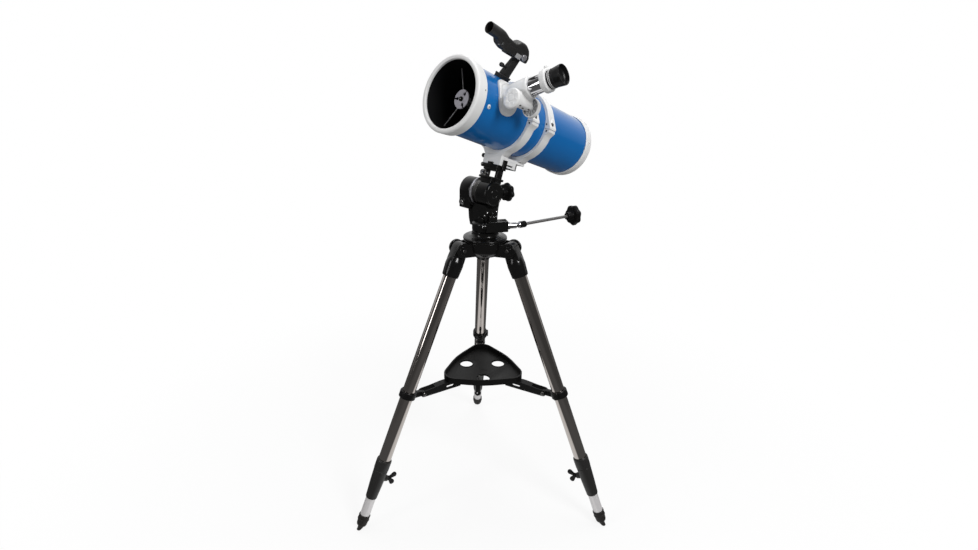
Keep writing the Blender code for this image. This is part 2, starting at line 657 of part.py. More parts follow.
def spider():
    """Hub on three thin vanes that reach the tube's wall."""
    body = along_x(rod(0.009, SPIDER_OFFSET - 0.010, SPIDER_OFFSET + 0.0065, 18))
    for angle in VANE_ANGLES:
        reach = TUBE_R - TUBE_WALL - 0.0006
        vane = box((SPIDER_OFFSET - 0.006, 0.004, -0.0005), (SPIDER_OFFSET + 0.006, reach, 0.0005))
        body = joined(body, turned(vane, axis="X", angle=angle))
    return body


def spider_cap():
    """Light plate on the front of the hub, with three keyholes round its middle screw."""
    plate = rod(0.0193, SPIDER_OFFSET + 0.0068, SPIDER_OFFSET + 0.0093, 20)
    middle = rod(0.004, SPIDER_OFFSET + 0.009, SPIDER_OFFSET + 0.0125, 12)
    body = joined(plate, middle)
    for k in range(3):
        angle = radians(30 + 120 * k)
        hole = turned(rod(0.0036, -0.06, 0.02, 8), move=(0.0118 * cos(angle), 0.0118 * sin(angle), 0))
        notch = turned(box((0.0118, -0.0016, -0.06), (0.021, 0.0016, 0.02)), angle=angle)
        body = cut(body, joined(hole, notch))
    return along_x(body)


def diagonal(thick_from, thick_to):
    """Slice across a bar, square to the line halfway between the focuser and the main mirror."""
    slab = box((-0.06, -0.06, thick_from), (0.06, 0.06, thick_to))
    facing = Vector((-1, cos(FOCUS_ANGLE), sin(FOCUS_ANGLE))).normalized()
    turn = Vector((0, 0, 1)).rotation_difference(facing).to_matrix().to_4x4()
    slab.transform(Matrix.Translation((FOCUS_OFFSET, 0, 0)) @ turn)
    return slab


def secondary_holder():
    """Stem and slant-cut bar that hold the small mirror."""
    bar = along_x(rod(0.0155, -0.125, -0.066, 24))
    stem = along_x(rod(0.005, -0.070, SPIDER_OFFSET - 0.0103, 14))
    return cut(joined(bar, stem), diagonal(-0.0043, 0.08))


def secondary_mirror():
    """Small oval flat, set aslant towards the focuser."""
    return combine(along_x(rod(0.0155, -0.125, -0.055, 24)), diagonal(-0.004, 0.0), "INTERSECT")


piece("optical_tube", optical_tube(), tube_axis, BLUE)
piece("front_ring", front_ring(), tube_axis, WHITE)
piece("rear_cell", rear_cell(), tube_axis, WHITE)
piece("primary_mirror", primary_mirror(), tube_axis, MIRROR)
piece("spider", spider(), tube_axis, BLACK)
piece("spider_cap", spider_cap(), tube_axis, GREY)
piece("secondary_holder", secondary_holder(), tube_axis, BLACK)
piece("secondary_mirror", secondary_mirror(), tube_axis, MIRROR)


def focuser_body():
    """Focuser casting: saddle flange on the tube, flared body and pinion box."""
    outline = []
    steps = 24
    for k in range(steps):
        c = cos(tau * (k + 0.4) / steps)
        e = sin(tau * (k + 0.4) / steps)
        x = 0.0278 * abs(c) ** 0.77 * (1 if c > 0 else -1)
        y = 0.0360 * abs(e) ** 0.77 * (1 if e > 0 else -1)
        outline.append((x, y))
    flange = prism(outline, 0.045, 0.085)
    shell = along_x(rod(TUBE_R + 0.0048, -0.06, 0.06, TUBE_SIDES))
    flange = combine(flange, shell, "INTERSECT")
    flare = lathe([(0, 0.060), (0.0262, 0.060), (0.0250, 0.0765), (0.0212, 0.0825), (0.0206, 0.092),
                   (0.0214, 0.1285), (0.0202, 0.130), (0, 0.130)], 22)
    pinion_y, pinion_z = PINION_AT
    crown = pinion_y + 0.0095
    side = [(0.006, pinion_z - 0.0145), (pinion_y + 0.003, pinion_z - 0.0125), (crown, pinion_z - 0.006)]
    side += [(crown, pinion_z + 0.006), (pinion_y + 0.003, pinion_z + 0.0115), (0.006, pinion_z + 0.0135)]
    gear_box = to_rail(prism(side, -0.019, 0.019))
    body = joined(flange, flare, gear_box)
    tube_room = along_x(rod(TUBE_R + GAP, -0.08, 0.08, TUBE_SIDES))
    bore = turned(rod(DRAWTUBE_R + GAP, 0.03, 0.15, 20), angle=pi / 50)
    rack_room = box((-0.0036, 0.006, 0.03), (0.0036, 0.0202, 0.15))
    pinion_room = box((-0.0045, 0.010, pinion_z - 0.0078), (0.0045, pinion_y + 0.0075, pinion_z + 0.0078))
    shaft_hole = along_x(rod(0.0033, -0.05, 0.05, 14), (0, pinion_y, pinion_z))
    return cut(body, bore, rack_room, pinion_room, shaft_hole, tube_room)


def drawtube():
    """Chrome drawtube with its toothed rack."""
    shell = turned(pipe(DRAWTUBE_R, BARREL_R + GAP, 0.062, 0.158, 20), angle=pi / 50)
    start = PINION_AT[1] - RACK_TEETH / 2 * TOOTH_PITCH
    teeth = [(0.0166, start)]
    for k in range(RACK_TEETH):
        low = start + k * TOOTH_PITCH
        for share, y in ((0.20, RACK_FOOT), (0.38, RACK_TIP), (0.62, RACK_TIP), (0.80, RACK_FOOT)):
            teeth.append((y, low + share * TOOTH_PITCH))
    teeth.append((0.0166, start + RACK_TEETH * TOOTH_PITCH))
    rack = to_rail(prism(teeth, -0.003, 0.003))
    return joined(shell, rack)


def pinion():
    """Pinion with its teeth, on a shaft with a hollow focus knob at each end, along Z."""
    outline = []
    for k in range(PINION_TEETH):
        for share, radius in ((-0.25, 0.0049), (-0.11, 0.0066), (0.11, 0.0066), (0.25, 0.0049)):
            angle = tau * (k + share) / PINION_TEETH
            outline.append((radius * cos(angle), radius * sin(angle)))
    gear = turned(prism(outline, -0.0036, 0.0036), angle=pi / 2)
    shaft = rod(0.003, -0.030, 0.030, 14)
    cup = [(0, 0.0240), (0.0058, 0.0240), (0.0058, 0.0335), (0.0172, 0.0335), (0.0172, 0.0255),
           (0.0190, 0.0255), (0.0195, 0.0345), (0.0175, 0.0365), (0, 0.0365)]
    front = lathe(cup, 20)
    back = lathe([(radius, -height) for radius, height in cup], 20)
    return joined(shaft, gear, front, back)


def eyepiece_holder():
    """White clamp ring on the drawtube's end, with its thumbscrew."""
    ring = lathe([(BARREL_R + GAP, 0.1583), (0.0205, 0.1583), (0.0222, 0.1600), (0.0222, 0.1700),
                  (0.0205, 0.1720), (BARREL_R + GAP, 0.1720)], 20)
    screw = turned(lathe([(0, 0.019), (0.002, 0.019), (0.002, 0.0235), (0.0038, 0.0240), (0.0038, 0.0310),
                          (0, 0.0310)], 10), axis="X", angle=pi / 2, move=(0, 0, 0.165))
    return joined(ring, screw)


def eyepiece():
    """Eyepiece with its push-in barrel and a flared rubber cup."""
    return lathe([(0.0125, 0.141), (BARREL_R, 0.141), (BARREL_R, 0.1723), (0.0178, 0.1723), (0.0180, 0.1860),
                  (0.0197, 0.2015), (0.0188, 0.2025), (0.0135, 0.1930), (0, 0.1925), (0, 0.1500),
                  (0.0125, 0.1500)], 20)


piece("focuser_body", focuser_body(), focus_frame, WHITE)
piece("drawtube", drawtube(), focus_frame, CHROME)
pinion_frame = empty("pinion_axis", focus_frame, (0, *PINION_AT), (0, pi / 2, 0))
piece("focus_pinion", pinion(), pinion_frame, WHITE)
piece("eyepiece_holder", eyepiece_holder(), focus_frame, WHITE)
piece("eyepiece", eyepiece(), focus_frame, RUBBER)

finder_frame = empty("finder_frame", tube_axis, (0, 0, 0), (FINDER_ANGLE - pi / 2, 0, 0))


def finder_bracket():
    """Finder's shoe on the tube, with the leaning stem and its clamp screw."""
    shoe = box((-0.122, -0.0125, 0.066), (-0.078, 0.0125, 0.0785))
    clamp = upright([(-0.112, 0.077), (-0.084, 0.077), (-0.090, 0.092), (-0.116, 0.092)], -0.0095, 0.0095)
    stem = upright([(-0.110, 0.090), (-0.092, 0.090), (-0.100, 0.1167), (-0.120, 0.1167)], -0.0075, 0.0075)
    screw = along_x(rod(0.0042, -0.092, -0.0775, 12), (0, 0, 0.0865))
    return cut(joined(shoe, clamp, stem, screw), along_x(rod(TUBE_R + GAP, -0.2, 0.0, TUBE_SIDES)))


def finder_body():
    """Red-dot finder lofted from sections along X: round window tube, sloping waist, humped case."""
    sections = [(-0.012, 0.1405, 0.0125, 0.0125, 2), (-0.056, 0.1400, 0.0125, 0.0125, 2),
                (-0.064, 0.1340, 0.0120, 0.0165, 4), (-0.076, 0.1300, 0.0120, 0.0132, 6),
                (-0.090, 0.1300, 0.0120, 0.0130, 6), (-0.098, 0.1330, 0.0120, 0.0160, 5),
                (-0.108, 0.1338, 0.0120, 0.0168, 5), (-0.124, 0.1315, 0.0120, 0.0145, 5),
                (-0.134, 0.1265, 0.0115, 0.0095, 5)]
    corners = 16
    bm = bmesh.new()
    rings = []
    for x, middle, half_width, half_height, power in sections:
        ring = []
        for k in range(corners):
            c = cos(tau * k / corners)
            s = sin(tau * k / corners)
            y = half_width * abs(c) ** (2 / power) * (1 if c > 0 else -1)
            z = half_height * abs(s) ** (2 / power) * (1 if s > 0 else -1)
            ring.append(bm.verts.new((x, y, middle + z)))
        rings.append(ring)
    for ring, following in zip(rings, rings[1:]):
        for k in range(corners):
            bm.faces.new((ring[k], ring[k - 1], following[k - 1], following[k]))
    bm.faces.new(rings[0])
    bm.faces.new(rings[-1])
    return cut(finish(bm), along_x(rod(0.0102, -0.030, 0.0, corners), (0, 0, 0.1405)))


piece("finder_bracket", finder_bracket(), finder_frame, BLACK)
piece("finder_body", finder_body(), finder_frame, BLACK)
dial_frame = empty("finder_dial_axis", finder_frame, (-0.118, 0.0123, 0.1255), (-pi / 2, 0, 0))
piece("finder_dial", rod(0.0062, 0, 0.0042, 16), dial_frame, GREY)
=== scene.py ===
"""Reflecting telescope on a slow-motion head and a folding three-legged stand, dressed on its CAD frame.

Metres, +Z up, origin on the floor. The sections follow the assembly from the stand up to the finder.
"""
from math import cos, pi, radians, sin, tau

import bmesh
import bpy
import numpy as np
from mathutils import Matrix


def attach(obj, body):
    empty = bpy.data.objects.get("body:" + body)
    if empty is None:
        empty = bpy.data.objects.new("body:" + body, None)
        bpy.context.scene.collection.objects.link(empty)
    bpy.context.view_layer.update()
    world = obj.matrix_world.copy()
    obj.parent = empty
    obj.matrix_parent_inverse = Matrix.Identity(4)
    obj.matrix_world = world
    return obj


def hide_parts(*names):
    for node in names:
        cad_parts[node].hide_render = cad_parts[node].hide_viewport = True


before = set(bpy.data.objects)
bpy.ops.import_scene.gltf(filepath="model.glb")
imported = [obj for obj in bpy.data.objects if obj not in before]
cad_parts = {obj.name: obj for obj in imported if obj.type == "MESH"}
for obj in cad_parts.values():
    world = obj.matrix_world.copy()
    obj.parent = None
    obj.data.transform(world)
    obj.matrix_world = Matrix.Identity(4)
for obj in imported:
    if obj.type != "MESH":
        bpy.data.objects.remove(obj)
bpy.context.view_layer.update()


# Tripod hub: one casting with a turned body and three pairs of ears, in satin black enamel over a
# fine sand texture. The ears are plates with rounded edges that grow out of the body.
def seat(origin, x, y):
    """A place to build in: an origin, and the directions of its own X, Y and Z as rows."""
    return np.array(origin, float), np.array([x, y, np.cross(x, y)], float)


def shift(at, x=0.0, y=0.0, z=0.0):
    """The same directions with the origin moved along them."""
    return at[0] + np.array([x, y, z]) @ at[1], at[1]


def facing(at, first, second):
    """The same origin with two of its directions taken as X and Y; Z is square to both."""
    rows = at[1]
    return at[0], np.array([rows[first], rows[second], np.cross(rows[first], rows[second])])


def spun(at, angle):
    """The same origin, turned about its own Z."""
    x, y, z = at[1]
    return at[0], np.array([cos(angle) * x + sin(angle) * y, cos(angle) * y - sin(angle) * x, z])


def eased(corners, radius, loop=False, steps=4):
    """Corners p rounded as (1-t)^2 a + 2t(1-t) p + t^2 b, where a and b lie up to a radius from p."""
    p = np.asarray(corners, float)
    back = np.roll(p, 1, 0) - p
    ahead = np.roll(p, -1, 0) - p
    back_length = np.maximum(np.linalg.norm(back, axis=1), 1e-9)
    ahead_length = np.maximum(np.linalg.norm(ahead, axis=1), 1e-9)
    reach = np.minimum(radius, 0.45 * np.minimum(back_length, ahead_length))
    a = p + back * (reach / back_length)[:, None]
    b = p + ahead * (reach / ahead_length)[:, None]
    t = np.linspace(0, 1, steps + 1)[None, :, None]
    curve = (1 - t) ** 2 * a[:, None] + 2 * t * (1 - t) * p[:, None] + t ** 2 * b[:, None]
    if not loop:
        curve[0] = p[0]
        curve[-1] = p[-1]
    return curve.reshape(-1, p.shape[1])


def round_points(x, y, radius, start, end, steps=16):
    """Points (x + r cos a, y + r sin a) of an arc, both ends included."""
    a = np.linspace(start, end, steps + 1)
    return np.stack([x + radius * np.cos(a), y + radius * np.sin(a)], 1)


def turned(profile, at, *, sides=64, loop=False, ease=0.0004, flutes=0, depth=0.0):
    """Surface of revolution ((r + d cos kt) cos t, (r + d cos kt) sin t, z) of a (r, z) profile."""
    line = eased(np.column_stack([profile, np.broadcast_to(depth, len(profile))]), ease, loop)
    r, z, d = line.T[:, :, None]
    t = np.linspace(0, tau, sides, endpoint=False)
    swept = np.maximum(r + d * np.cos(flutes * t), 0)
    grid = np.stack([swept * np.cos(t), swept * np.sin(t), np.broadcast_to(z, swept.shape)], -1)
    return grid @ at[1] + at[0], loop, False


def slab(outline, low, high, at, edge=0.0008):
    """An outline raised from low to high with rounded rims: offset e(1 - sin a), height e(1 - cos a)."""
    p = np.asarray(outline, float)
    x, y = p.T
    if np.sum(x * np.roll(y, -1) - y * np.roll(x, -1)) < 0:
        p = p[::-1]
    run = np.roll(p, -1, 0) - p
    normal = np.stack([-run[:, 1], run[:, 0]], 1) / np.linalg.norm(run, axis=1)[:, None]
    before = np.roll(normal, 1, 0)
    mitre = (normal + before) / np.maximum(1 + np.sum(normal * before, 1), 0.3)[:, None]
    a = np.linspace(0, pi / 2, 5)
    inward = edge * (1 - np.sin(a))
    rise = edge * (1 - np.cos(a))
    offsets = np.concatenate([inward, inward[::-1]])
    heights = np.concatenate([low + rise, high - rise[::-1]])
    flat = p[None] + offsets[:, None, None] * mitre[None]
    tall = np.broadcast_to(heights[:, None, None], (len(heights), len(p), 1))
    return np.concatenate([flat, tall], 2) @ at[1] + at[0], False, True


def stand_in(name, mesh, body, nodes):
    """Put a finished mesh in the scene on its CAD body, in place of CAD nodes."""
    item = bpy.data.objects.new(name, mesh)
    bpy.context.scene.collection.objects.link(item)
    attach(item, body)
    if nodes:
        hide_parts(*nodes)
    return item


def whole(mesh, flatten=False):
    """Merge a mesh's doubles, dissolve its flat seams where asked, and turn its faces outwards."""
    work = bmesh.new()
    work.from_mesh(mesh)
    bmesh.ops.remove_doubles(work, verts=work.verts, dist=1e-6)
    if flatten:
        bmesh.ops.dissolve_limit(work, angle_limit=radians(1), verts=work.verts, edges=work.edges)
    bmesh.ops.recalc_face_normals(work, faces=work.faces)
    work.to_mesh(mesh)
    work.free()


def skin(name, sheets, finish, body, nodes=(), sharp=38):
    """One piece out of grids of points. Columns close round; rows close too, or end in caps.

    The UV map runs along columns and rows in metres, measured on the grid's mean spacing.
    """
    points, faces, marks = [], [], []
    count = 0
    for grid, loop, capped in sheets:
        rows, columns = grid.shape[:2]
        index = count + np.arange(rows * columns).reshape(rows, columns)
        if loop:
            index = np.concatenate([index, index[:1]])
        following = np.roll(index, -1, 1)
        quads = np.stack([index[:-1], following[:-1], following[1:], index[1:]], -1)
        closed = np.concatenate([grid, grid[:1]]) if loop else grid
        v = np.concatenate([[0], np.cumsum(np.linalg.norm(np.diff(closed, axis=0), axis=2).mean(1))])
        step = np.linalg.norm(np.roll(grid, -1, 1) - grid, axis=2).max(0)
        u = np.concatenate([[0], np.cumsum(step)])
        left, low = np.meshgrid(u[:-1], v[:-1])
        right, high = np.meshgrid(u[1:], v[1:])
        corners = [(left, low), (right, low), (right, high), (left, high)]
        marks.append(np.stack([np.stack(pair, -1) for pair in corners], 2).reshape(-1, 2))
        faces += quads.reshape(-1, 4).tolist()
        if capped:
            faces += [index[0, ::-1].tolist(), index[-1].tolist()]
            marks.append(np.zeros((2 * columns, 2)))
        points.append(grid.reshape(-1, 3))
        count += rows * columns
    mesh = bpy.data.meshes.new(name)
    mesh.from_pydata(np.concatenate(points), [], faces)
    mesh.uv_layers.new(name="UVMap").data.foreach_set("uv", np.concatenate(marks).ravel())
    whole(mesh)
    mesh.shade_smooth()
    mesh.set_sharp_from_angle(angle=radians(sharp))
    mesh.materials.append(finish)
    return stand_in(name, mesh, body, nodes)


class Wire:
    """An output of a shader node; sums, differences and products of wires and numbers add Math nodes."""

    def __init__(self, tree, socket):
        self.tree = tree
        self.socket = socket

    def node(self, kind, settings, sockets, out=0):
        """A new node of this kind: its settings first, then the values or links of its sockets."""
        made = self.tree.nodes.new(kind)
        for key, value in settings.items():
            setattr(made, key, value)
        for key, value in sockets.items():
            if isinstance(value, Wire):
                self.tree.links.new(value.socket, made.inputs[key])
            else:
                made.inputs[key].default_value = value
        return Wire(self.tree, made.outputs[out])

    def math(self, operation, first, second):
        return self.node("ShaderNodeMath", {"operation": operation}, {0: first, 1: second})

    def __add__(self, other):
        return self.math("ADD", self, other)

    def __sub__(self, other):
        return self.math("SUBTRACT", self, other)

    def __rsub__(self, other):
        return self.math("SUBTRACT", other, self)

    def __mul__(self, other):
        return self.math("MULTIPLY", self, other)

    __radd__ = __add__
    __rmul__ = __mul__

    def noise(self, scale, detail=2.0):
        """Noise on this wire's coordinates."""
        return self.node("ShaderNodeTexNoise", {}, {"Vector": self, "Scale": scale, "Detail": detail})

    def bump(self, height, strength, distance):
        """A normal that leans with the slope of a height."""
        sockets = {"Strength": strength, "Distance": distance, "Height": height}
        return self.node("ShaderNodeBump", {}, sockets)

    def eased_between(self, start, end, low, high):
        """A smooth step from low to high as this wire goes from start to end."""
        sockets = {"Value": self, "From Min": start, "From Max": end, "To Min": low, "To Max": high}
        return self.node("ShaderNodeMapRange", {"interpolation_type": "SMOOTHSTEP"}, sockets)

    def blend(self, low, high):
        """A colour mixed from low to high by this wire."""
        sockets = {0: self, 6: (*low, 1), 7: (*high, 1)}
        return self.node("ShaderNodeMix", {"data_type": "RGBA"}, sockets, out=2)


def begin(name, fixed, source="Object"):
    """A new material: it, its shader's sockets and a wire on its coordinates."""
    made = bpy.data.materials.new(name)
    made.use_nodes = True
    tree = made.node_tree
    shader = tree.nodes["Principled BSDF"]
    for key, value in fixed.items():
        shader.inputs[key].default_value = value
    coordinates = tree.nodes.new("ShaderNodeTexCoord")
    return made, shader.inputs, Wire(tree, coordinates.outputs[source])


def plug(sockets, **wires):
    """Join wires to a shader's sockets; an underscore in a name stands for a space."""
    for key, wire in wires.items():
        wire.tree.links.new(wire.socket, sockets[key.replace("_", " ")])


def coat(name, low, high, rough, grain, relief, fixed, spread=9.0):
    """A finish whose colour and roughness drift with noise, over a fine bump of that grain."""
    made, sockets, place = begin(name, fixed)
    cloud = place.noise(spread, 3.0)
    fine = place.noise(grain, 1.5)
    drift = place.noise(spread * 5, 2.0)
    plug(sockets, Base_Color=cloud.blend(low, high), Normal=place.bump(fine, 1.0, relief))
    plug(sockets, Roughness=drift * (rough[1] - rough[0]) + rough[0])
    return made


satin_black = coat("satin_black", (0.003, 0.0029, 0.0028), (0.006, 0.0058, 0.0056), (0.15, 0.26),
                   1500, 3e-5, {"Specular IOR Level": 0.45})
dark_steel = coat("dark_steel", (0.1, 0.097, 0.094), (0.2, 0.195, 0.19), (0.22, 0.4),
                  900, 2e-5, {"Metallic": 1.0})
stand = seat((0, -0.08534, 0), (1, 0, 0), (0, 1, 0))
headings = {"left": radians(210), "right": radians(330), "back": radians(90)}
pivot_reach, pivot_height = 0.0659, 0.666
hub = [turned([(0, 0.6385), (0.02, 0.6395), (0.036, 0.645), (0.0455, 0.6545), (0.0488, 0.666),
               (0.0493, 0.679), (0.0485, 0.6797), (0, 0.6797)], stand, sides=96, ease=0.003)]
ear = np.concatenate([round_points(pivot_reach, pivot_height, 0.0175, -pi / 2 + 0.25, radians(135), 24),
                      [(0.03, 0.6785), (0.03, 0.646)]])
pad = np.array([(0, 0.019), (0.0105, 0.019), (0.01, 0.0203), (0, 0.0203)])
bolt_head = np.array([(0, 0.02), (0.005, 0.02), (0.005, 0.0228), (0.0042, 0.024), (0, 0.024)])
bolts = []
for heading in headings.values():
    outward = facing(spun(stand, heading), 0, 2)
    pivot_line = shift(outward, pivot_reach, pivot_height)
    for end in (-1, 1):
        hub.append(slab(ear, *sorted((end * 0.0135, end * 0.0195)), outward, 0.0014))
        hub.append(turned(pad * (1, end), pivot_line, ease=0.0005))
        bolts.append(turned(bolt_head * (1, end), pivot_line, sides=6, ease=0.0003))
skin("hub_casting", hub, satin_black, "tripod", ["tripod_hub"])
skin("hub_bolts", bolts, dark_steel, "tripod", sharp=20)


# Head flange: a turned foot with a stepped rim and a short waisted neck, in the hub's black enamel. It
# is screwed to the hub from below, so it shows only a thin parting line.
flange = [(0, 0.68), (0.0488, 0.68), (0.05, 0.6812), (0.0498, 0.6848), (0.047, 0.6862),
          (0.038, 0.6872), (0.033, 0.6885), (0.0305, 0.6915), (0.0298, 0.695), (0.0298, 0.6998),
          (0, 0.7)]
skin("head_flange", [turned(flange, stand, sides=96, ease=0.0012)], satin_black, "tripod",
     ["mount_base"])


# Legs: per leg a cast bracket, a polished tube, a moulded lock sleeve with a winged screw, a lower
# tube with a rubber foot, and a collar that carries the tray's brace. Tubes are drawn stainless steel.
def steel(name, low, high, rough, stretch, metal=1.0):
    """Bright metal with long faint streaks: noise on the UV map, stretched along the drawing direction."""
    made, sockets, place = begin(name, {"Metallic": metal}, "UV")
    pulled = place.node("ShaderNodeMapping", {}, {"Vector": place, "Scale": (*stretch, 1)})
    streak = pulled.noise(1.0, 4.0)
    hair = pulled.noise(6.0, 2.0)
    plug(sockets, Base_Color=streak.blend(low, high), Normal=place.bump(hair, 0.03, 8e-6))
    plug(sockets, Roughness=streak * (rough[1] - rough[0]) + rough[0])
    return made


def soften(node, finish, body, width):
    """The CAD node's own mesh, merged into whole faces, with its edges rounded by a bevel."""
    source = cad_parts[node]
    mesh = source.data.copy()
    mesh.transform(source.matrix_world)
    whole(mesh, flatten=True)
    mesh.materials.clear()
    mesh.materials.append(finish)
    mesh.shade_smooth()
    mesh.set_sharp_from_angle(angle=radians(38))
    item = stand_in(f"{node}_shape", mesh, body, [node])
    rim = item.modifiers.new("rim", "BEVEL")
    rim.width = width
    rim.segments = 2
    rim.limit_method = "ANGLE"
    rim.angle_limit = radians(38)


def bar(radius, low, high):
    """The (r, z) profile of a plain round bar."""
    return [(0, low), (radius, low), (radius, high), (0, high)]


def pipe(inner, outer, low, high):
    """The closed (r, z) profile of a plain pipe."""
    return [(inner, low), (outer, low), (outer, high), (inner, high)]


def block(low, high, at, edge=0.0008, corner=0.001):
    """A box between two corners with eased corners and rims, raised along Z."""
    corners = [(low[0], low[1]), (high[0], low[1]), (high[0], high[1]), (low[0], high[1])]
    return slab(eased(corners, corner, True), low[2], high[2], at, edge)


polished = steel("polished_tube", (0.5, 0.46, 0.43), (0.62, 0.575, 0.545), (0.07, 0.13), (400, 4))
bright_tube = steel("bright_tube", (0.78, 0.76, 0.765), (0.88, 0.86, 0.865), (0.26, 0.34), (400, 4), 0.3)
moulded_black = coat("moulded_black", (0.0035, 0.0034, 0.0034), (0.0065, 0.0063, 0.0062), (0.32, 0.46),
                     2600, 4e-5, {"Specular IOR Level": 0.2})
grained_black = coat("grained_black", (0.017, 0.0164, 0.016), (0.026, 0.025, 0.0244), (0.32, 0.46),
                     2600, 4e-5, {"Specular IOR Level": 0.36})
rubber = coat("foot_rubber", (0.012, 0.0108, 0.01), (0.019, 0.017, 0.0156), (0.5, 0.66),
              1800, 9e-5, {"Specular IOR Level": 0.3})
leg_tilt = radians(22.47)
ground = -pivot_height / cos(leg_tilt)
hinge_reach, hinge_drop = -0.0378, -0.3534
for side, heading in headings.items():
    out = np.array([cos(heading), sin(heading), 0])
    pivot = stand[0] + pivot_reach * out + (0, 0, pivot_height)
    leg = seat(pivot, out * cos(leg_tilt) + (0, 0, sin(leg_tilt)), (-sin(heading), cos(heading), 0))
    flat = facing(leg, 0, 2)

    socket = [(0.0153, -0.066), (0.0184, -0.066), (0.019, -0.062), (0.0205, -0.038), (0.0198, -0.03),
              (0.015, -0.018), (0, -0.0175)]
    tongue = np.concatenate([round_points(0, 0, 0.0155, -0.2, pi + 0.2, 32),
                             [(-0.0165, -0.03), (0.0165, -0.03)]])
    skin(f"leg_bracket_{side}_shape",
         [turned(socket, leg, ease=0.0025), slab(tongue, -0.013, 0.013, flat, 0.002)],
         satin_black, f"leg_{side}", [f"leg_bracket_{side}"])
    upper = pipe(0.0136, 0.015, ground + 0.1523, -0.0333)
    skin(f"leg_tube_{side}", [turned(upper, leg, loop=True)], polished, f"leg_{side}",
         [f"upper_leg_{side}"])

    collar = [(0.0153, -0.3684), (0.019, -0.3684), (0.0197, -0.3672), (0.0197, -0.3536),
              (0.019, -0.3524), (0.0153, -0.3524)]
    hinge = shift(facing(leg, 2, 0), hinge_drop, hinge_reach)
    arm = np.concatenate([round_points(hinge_reach, hinge_drop, 0.0062, pi / 2, 3 * pi / 2),
                          [(-0.0175, -0.3674), (-0.0175, -0.3531)]])
    skin(f"brace_collar_{side}_shape",
         [turned(collar, leg, loop=True), slab(arm, -0.0058, 0.0058, flat, 0.0008),
          turned(bar(0.003, -0.0125, 0.0125), hinge, sides=24),
          block((-0.006, -0.3675, 0.017), (0.006, -0.3533, 0.0225), flat, 0.001)],
         moulded_black, f"leg_{side}", [f"brace_collar_{side}"])
    pin_head = np.array([(0, 0.0096), (0.0052, 0.0096), (0.005, 0.0112), (0.003, 0.0127), (0, 0.013)])
    skin(f"brace_pin_{side}", [turned(pin_head * (1, end), hinge, sides=32) for end in (-1, 1)],
         dark_steel, f"leg_{side}")
    soften(f"tray_brace_{side}", moulded_black, f"brace_{side}", 0.0007)

    low, step, high = ground + 0.088, ground + 0.152, ground + 0.191
    sleeve = [(0.012, low), (0.013, low), (0.0136, low + 0.002), (0.0158, low + 0.04),
              (0.017, high - 0.03), (0.017, high - 0.0285), (0.0163, high - 0.028),
              (0.0163, high - 0.0265), (0.0176, high - 0.026), (0.0178, high - 0.012),
              (0.0178, high - 0.003), (0.0168, high), (0.0153, high), (0.0153, step), (0.012, step)]
    wing_line = shift(facing(leg, 2, 1), ground + 0.138)
    boss = [(0, 0.01), (0.0086, 0.012), (0.0074, 0.016), (0.0072, 0.0245), (0.0034, 0.0245),
            (0.0034, 0.02), (0, 0.02)]
    skin(f"lock_sleeve_{side}_shape", [turned(sleeve, leg, loop=True), turned(boss, wing_line, sides=40)],
         grained_black, f"leg_{side}", [f"lock_sleeve_{side}"])
    shank = [(0, 0.0205), (0.003, 0.0205), (0.003, 0.025), (0.0056, 0.0262), (0.0058, 0.033),
             (0.0045, 0.0345), (0, 0.0348)]
    wing = np.concatenate([round_points(0.0098, 0.0405, 0.0062, -0.7, pi - 0.7, 20),
                           [(-0.001, 0.0325), (0.002, 0.0278)]])
    wings = [turned(shank, wing_line, sides=32)]
    for turn in (0, pi):
        wings.append(slab(wing, -0.0024, 0.0024, facing(spun(wing_line, turn), 0, 2), 0.0012))
    skin(f"wing_screw_{side}_shape", wings, moulded_black, f"wing_{side}",
         [f"wing_screw_{side}"])

    lower = pipe(0.0102, 0.0117, ground + 0.0223, ground + 0.505)
    skin(f"shin_tube_{side}", [turned(lower, leg, loop=True)], bright_tube, f"shin_{side}",
         [f"lower_leg_{side}"])
    tip = [(0, -0.006), (0.0055, -0.006), (0.0064, 0.006), (0.007, 0.0085), (0.011, 0.0125),
           (0.0122, 0.016), (0.0128, 0.026), (0.014, 0.0275), (0.014, 0.0295), (0.0131, 0.031),
           (0.0137, 0.039), (0.013, 0.041), (0.012, 0.041), (0.012, 0.022), (0, 0.022)]
    grid, loop, capped = turned(np.array(tip) + (0, ground), leg, ease=0.0006)
    grid[..., 2] = np.maximum(grid[..., 2], 0.0)
    skin(f"foot_{side}_shape", [(grid, loop, capped)], rubber, f"shin_{side}",
         [f"foot_{side}"])


# Accessory tray: a shallow moulding with a raised rim, three eyepiece holes and a raised lip round
# each, in matt grained black. It rests on the braces; a ring-shaped catch hangs under its front edge.
soften("tray", moulded_black, "tray", 0.0009)
catch = seat((-0.0132, -0.1565, 0.3145), (1, 0, 0), (0, 0, 1))
tray_floor, hole_reach = 0.34, 0.046
hole_lip = [(0.0161, -0.001), (0.0181, -0.001), (0.0178, 0.0012), (0.0164, 0.0012)]
fittings = []
for angle in np.radians((30, 150, 270)):
    centre = shift(stand, hole_reach * cos(angle), hole_reach * sin(angle), tray_floor)
    fittings.append(turned(hole_lip, centre, loop=True))
fittings += [
    turned(round_points(0.005, 0, 0.0025, 0, tau - 0.2, 16), catch, sides=48, loop=True),
    block((-0.005, 0.0052, -0.0026), (0.005, 0.0229, 0.0026), catch, 0.0008, 0.0015),
    block((-0.006, -0.0083, 0.3392), (0.0124, -0.0058, 0.3405), stand, 0.0003, 0.0006),
]
skin("tray_fittings", fittings, moulded_black, "tray")
rivet = [(0, -0.001), (0.0026, -0.001), (0.0024, 0.0008), (0, 0.0013)]
skin("tray_rivet", [turned(rivet, shift(stand, -0.0091, -0.0379, tray_floor), sides=32)], dark_steel,
     "tray")


